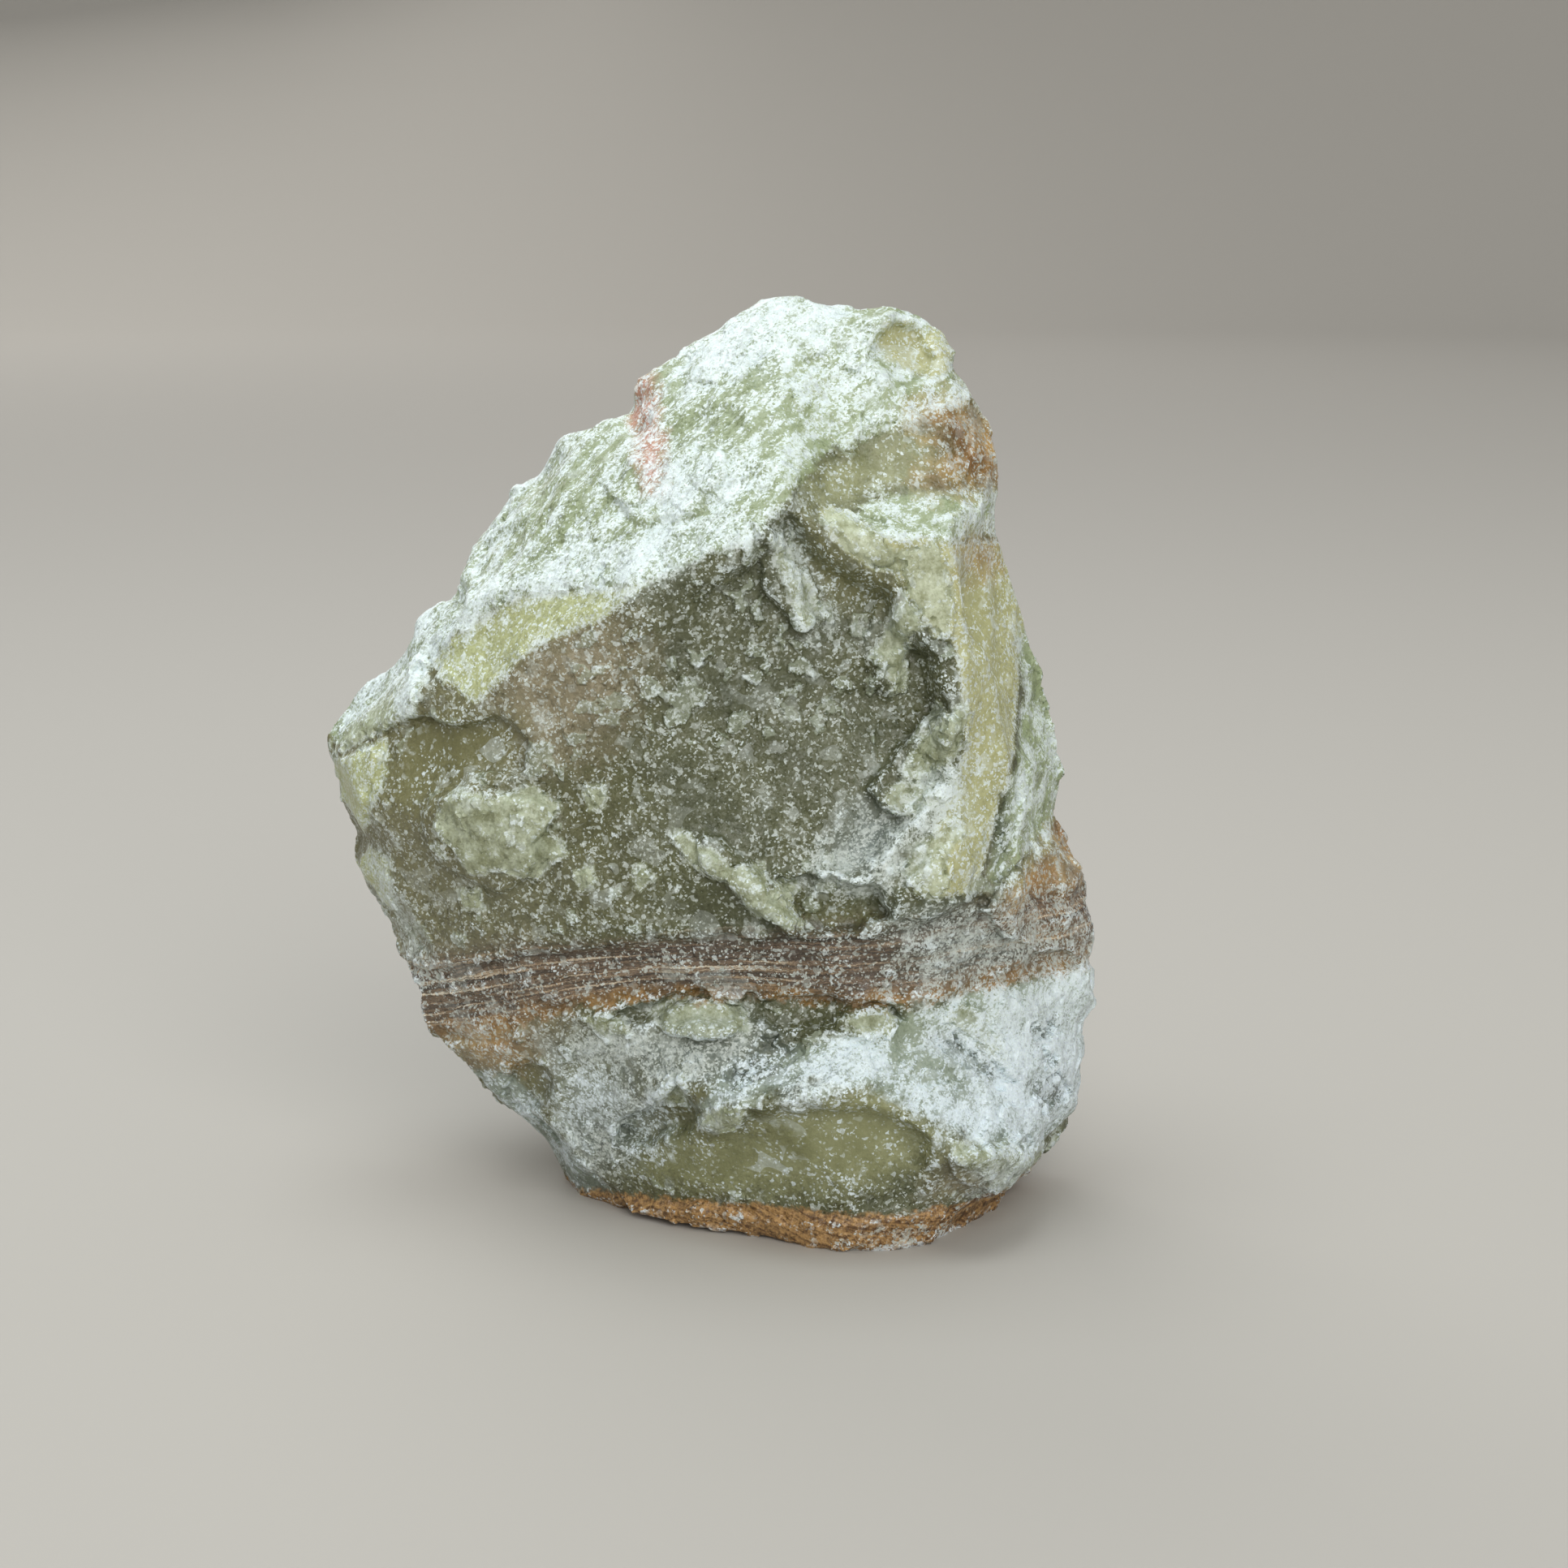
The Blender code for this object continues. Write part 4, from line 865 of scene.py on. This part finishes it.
orange = node("Math", node("MapRange", edge, -0.1, 0.02), node("MapRange", edge, 0.25, 0.05),
              operation="MULTIPLY")
orange = node("Math", orange, node("MapRange", clouds["middle"], 0.4, 0.65, 0.3, 0.95),
              operation="MULTIPLY")
colour = node("Mix", {0: orange, 6: colour, 7: "#9a763f"}, data_type="RGBA").outputs[2]
grit = node("MapRange", node("Math", stripe, clouds["fine"]), 0.85, 1.15)
sole_colour = node("Mix", {0: grit, 6: "#5d4227", 7: "#b18c5a"}, data_type="RGBA").outputs[2]
colour = node("Mix", {0: inside["sole"], 6: colour, 7: sole_colour}, data_type="RGBA").outputs[2]

# Salt: small broken grains that scatter white, each cut flat at a tilt of its own. It lies thick on the
# bruised faces and along every edge, and thinly over the clean chips.
crest = node("MapRange", node("Math", ragged, 1.0, held["edge"], operation="MULTIPLY_ADD"), 0.2, 0.9)
# Painted shade: hollows, where the surface bends inward, and the cracks are darkened toward #464d44, and
# the salt grains thin out there
painted_shade = node("MapRange", node("Math", ragged, 1.0, held["edge"], operation="MULTIPLY_ADD"), -0.25, -1.0)
painted_shade = node("Math", node("Math", painted_shade, 0.15, operation="MULTIPLY"),
           node("Math", inside["gap"], 0.75, operation="MULTIPLY"), operation="MAXIMUM")
colour = node("Mix", {0: painted_shade, 6: colour, 7: "#464d44"}, data_type="RGBA").outputs[2]
busy = node("MapRange", clouds["middle"], 0.36, 0.64, 0.1, 0.22)
streaky = node("Math", inside["frost"], node("MapRange", clouds["streaks"], 0.44, 0.58, -0.1, 0.5),
               operation="MULTIPLY")
for share, weight in (
    (ragged, 0.16), (streaky, 0.93), (inside["snow"], 0.42), (inside["pale"], -0.14), (rim, 0.3),
    (inside["grey"], 0.28), (held["scab"], 0.02), (inside["yellow"], 0.08), (crest, 0.15), (painted_shade, -0.3),
    (clean, -0.06), (heart, -0.02), (inside["rust"], 0.08), (inside["sole"], -0.15),
):
    busy = node("Math", share, weight, busy, operation="MULTIPLY_ADD")
pale = node("Math", inside["frost"], node("Math", crest, clean, operation="MAXIMUM"), operation="MAXIMUM")
salt = node("Mix", {0: pale, 6: "#c0c8c2", 7: "#dce8e9"}, data_type="RGBA").outputs[2]
cool = node("Math", node("Math", low, pale, operation="MULTIPLY"), 0.8, operation="MULTIPLY")
salt = node("Mix", {0: cool, 6: salt, 7: "#dbe8ef"}, data_type="RGBA").outputs[2]

# Each layer of grains: their width and how far their outlines are bent, in mm, the share of the busy ground
# that they fill, how soft their edge is, how white they are and how far they lean
tilt = (0.0, 0.0, 0.0)
for size, warped, gain, spread, strength, slant in (
    (2.6, 1.3, 0.4, 0.02, 0.26, 0.1),
    (1.3, 0.6, 0.35, 0.03, 0.28, 0.14),
    (0.75, 0.5, 0.4, 0.04, 0.4, 0.22),
    (0.36, 0.2, 0.8, 0.06, 0.75, 0.4),
    (0.19, 0.08, 1.05, 0.12, 0.95, 0.5),
):
    warp = node("TexNoise", {"Vector": place, "Scale": 0.9 / size, "Detail": 0.0}).outputs["Color"]
    warp = node("VectorMath", warp, (0.5, 0.5, 0.5), operation="SUBTRACT")
    bent = node("VectorMath", warp, (2 * warped,) * 3, place, operation="MULTIPLY_ADD")
    grain = node("TexVoronoi", {"Vector": bent, "Scale": 1 / size})
    drawn = node("SeparateColor", grain.outputs["Color"])
    white = node("MapRange", node("Math", busy, gain, drawn, operation="MULTIPLY_ADD"), 1.0, 1.0 + spread)
    share = node("Math", white, node("MapRange", drawn.outputs[1], 0, 1, 0.5 * strength, strength),
                 operation="MULTIPLY")
    colour = node("Mix", {0: share, 6: colour, 7: salt}, data_type="RGBA").outputs[2]
    off = node("VectorMath", grain.outputs["Color"], (0.5, 0.5, 0.5), operation="SUBTRACT")
    tilt = node("VectorMath", off, (slant,) * 3, tilt, operation="MULTIPLY_ADD")

calm = node("MapRange", heart, 0, 1, 1.0, 0.25)
tilt = node("VectorMath", {0: tilt, "Scale": calm}, operation="SCALE")
facet = node("VectorMath", node("NewGeometry").outputs["Normal"], tilt, operation="ADD")
facet = node("VectorMath", facet, operation="NORMALIZE")
bumped = node("Bump", {"Height": clouds["fine"], "Normal": facet, "Strength": 0.5, "Distance": 0.15 * MM})
surface = node("BsdfPrincipled", {
    "Base Color": colour, "Roughness": node("MapRange", drawn.outputs[2], 0, 1, 0.28, 0.6), "IOR": 1.55,
    "Metallic": 0.0, "Subsurface Weight": 0.12, "Subsurface Radius": (1.0, 1.1, 0.7),
    "Subsurface Scale": 2.0 * MM, "Normal": bumped,
})
node("OutputMaterial", surface)

stone.data.materials.clear()
stone.data.materials.append(onyx)
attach(stone, "root")
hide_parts("onyx_stone")

# ---------------------------------------------------------------------------------------------------
# The floor: one plain pale sheet of matt background paper. It lies flat under the stone and sweeps up all
# round it, so that it shows no corner from any side.
# ---------------------------------------------------------------------------------------------------
# Matt paper: an even pale grey without any gloss
paper = bpy.data.materials.new("matt_paper")
paper.use_nodes = True
sheet = paper.node_tree.nodes["Principled BSDF"]
sheet.inputs["Base Color"].default_value = linear("#b0aca5")
sheet.inputs["Roughness"].default_value = 0.9
FLAT, BEND, WALL = 1.8, 0.6, 1.4  # m, how far the floor runs flat, the sweep's radius and the wall's height
profile = [(0.0, 0.0), (FLAT, 0.0)]
for turn in np.linspace(0.1, math.pi / 2, 14):
    profile.append((FLAT + BEND * math.sin(turn), BEND - BEND * math.cos(turn)))
profile.append((FLAT + BEND, WALL))
sweep = bmesh.new()
line = [sweep.verts.new((r, 0, h)) for r, h in profile]
edges_of_line = [sweep.edges.new(pair) for pair in zip(line, line[1:])]
bmesh.ops.spin(sweep, geom=line + edges_of_line, cent=(0, 0, 0), axis=(0, 0, 1), angle=2 * math.pi,
               steps=72)
bmesh.ops.remove_doubles(sweep, verts=sweep.verts, dist=1e-5)
bmesh.ops.recalc_face_normals(sweep, faces=sweep.faces[:])
floor_mesh = bpy.data.meshes.new("floor")
sweep.to_mesh(floor_mesh)
sweep.free()
floor_mesh.polygons.foreach_set("use_smooth", np.ones(len(floor_mesh.polygons), bool))
floor_mesh.materials.append(paper)
floor = bpy.data.objects.new("floor", floor_mesh)
bpy.context.scene.collection.objects.link(floor)

# ---------------------------------------------------------------------------------------------------
# The light: a soft box close overhead that brings out the grain, larger ones in front and behind that fill
# the shadows, and a pale room all round.
# ---------------------------------------------------------------------------------------------------
STONE_HEART = Vector((0, 0, 0.04))  # m, what each lamp points at
for name, spot, size, power, tint in (
    ("overhead", (-0.12, 0.0, 0.75), 0.5, 3.1, (0.93, 0.98, 1.0)),
    ("front_fill", (0.45, -1.75, 0.95), 1.5, 30.0, (1.0, 0.99, 0.97)),
    ("back_fill", (-0.7, 1.7, 1.0), 1.5, 12.0, (1.0, 0.99, 0.97)),
):
    lamp = bpy.data.lights.new(name, "AREA")
    lamp.size, lamp.energy, lamp.color = size, power, tint
    light = bpy.data.objects.new(name, lamp)
    light.location = spot
    light.rotation_euler = (STONE_HEART - Vector(spot)).to_track_quat("-Z", "Y").to_euler()
    bpy.context.scene.collection.objects.link(light)
room = bpy.data.worlds.new("room")
room.use_nodes = True
room.node_tree.nodes["Background"].inputs["Color"].default_value = linear("#c9ccce")
room.node_tree.nodes["Background"].inputs["Strength"].default_value = 0.8
bpy.context.scene.world = room

# ---------------------------------------------------------------------------------------------------
# The camera: a short telephoto lens a hand's reach away, a little higher than the stone's top and looking
# down at its middle.
# ---------------------------------------------------------------------------------------------------
AIM = Vector((7.3, 0.0, 42.3)) * MM
AWAY = 320 * MM
DOWN = math.radians(11.0)  # how steeply it looks down
lens = bpy.data.cameras.new("camera")
lens.sensor_width = 36.0
lens.lens = 72.19  # mm, for a view 28 degrees wide
lens.clip_start, lens.clip_end = 0.01, 20.0
camera = bpy.data.objects.new("camera", lens)
camera.location = AIM + Vector((0, -math.cos(DOWN), math.sin(DOWN))) * AWAY
camera.rotation_euler = (math.pi / 2 - DOWN, 0, 0)
bpy.context.scene.collection.objects.link(camera)
bpy.context.scene.camera = camera
bpy.context.scene.view_settings.view_transform = "Standard"
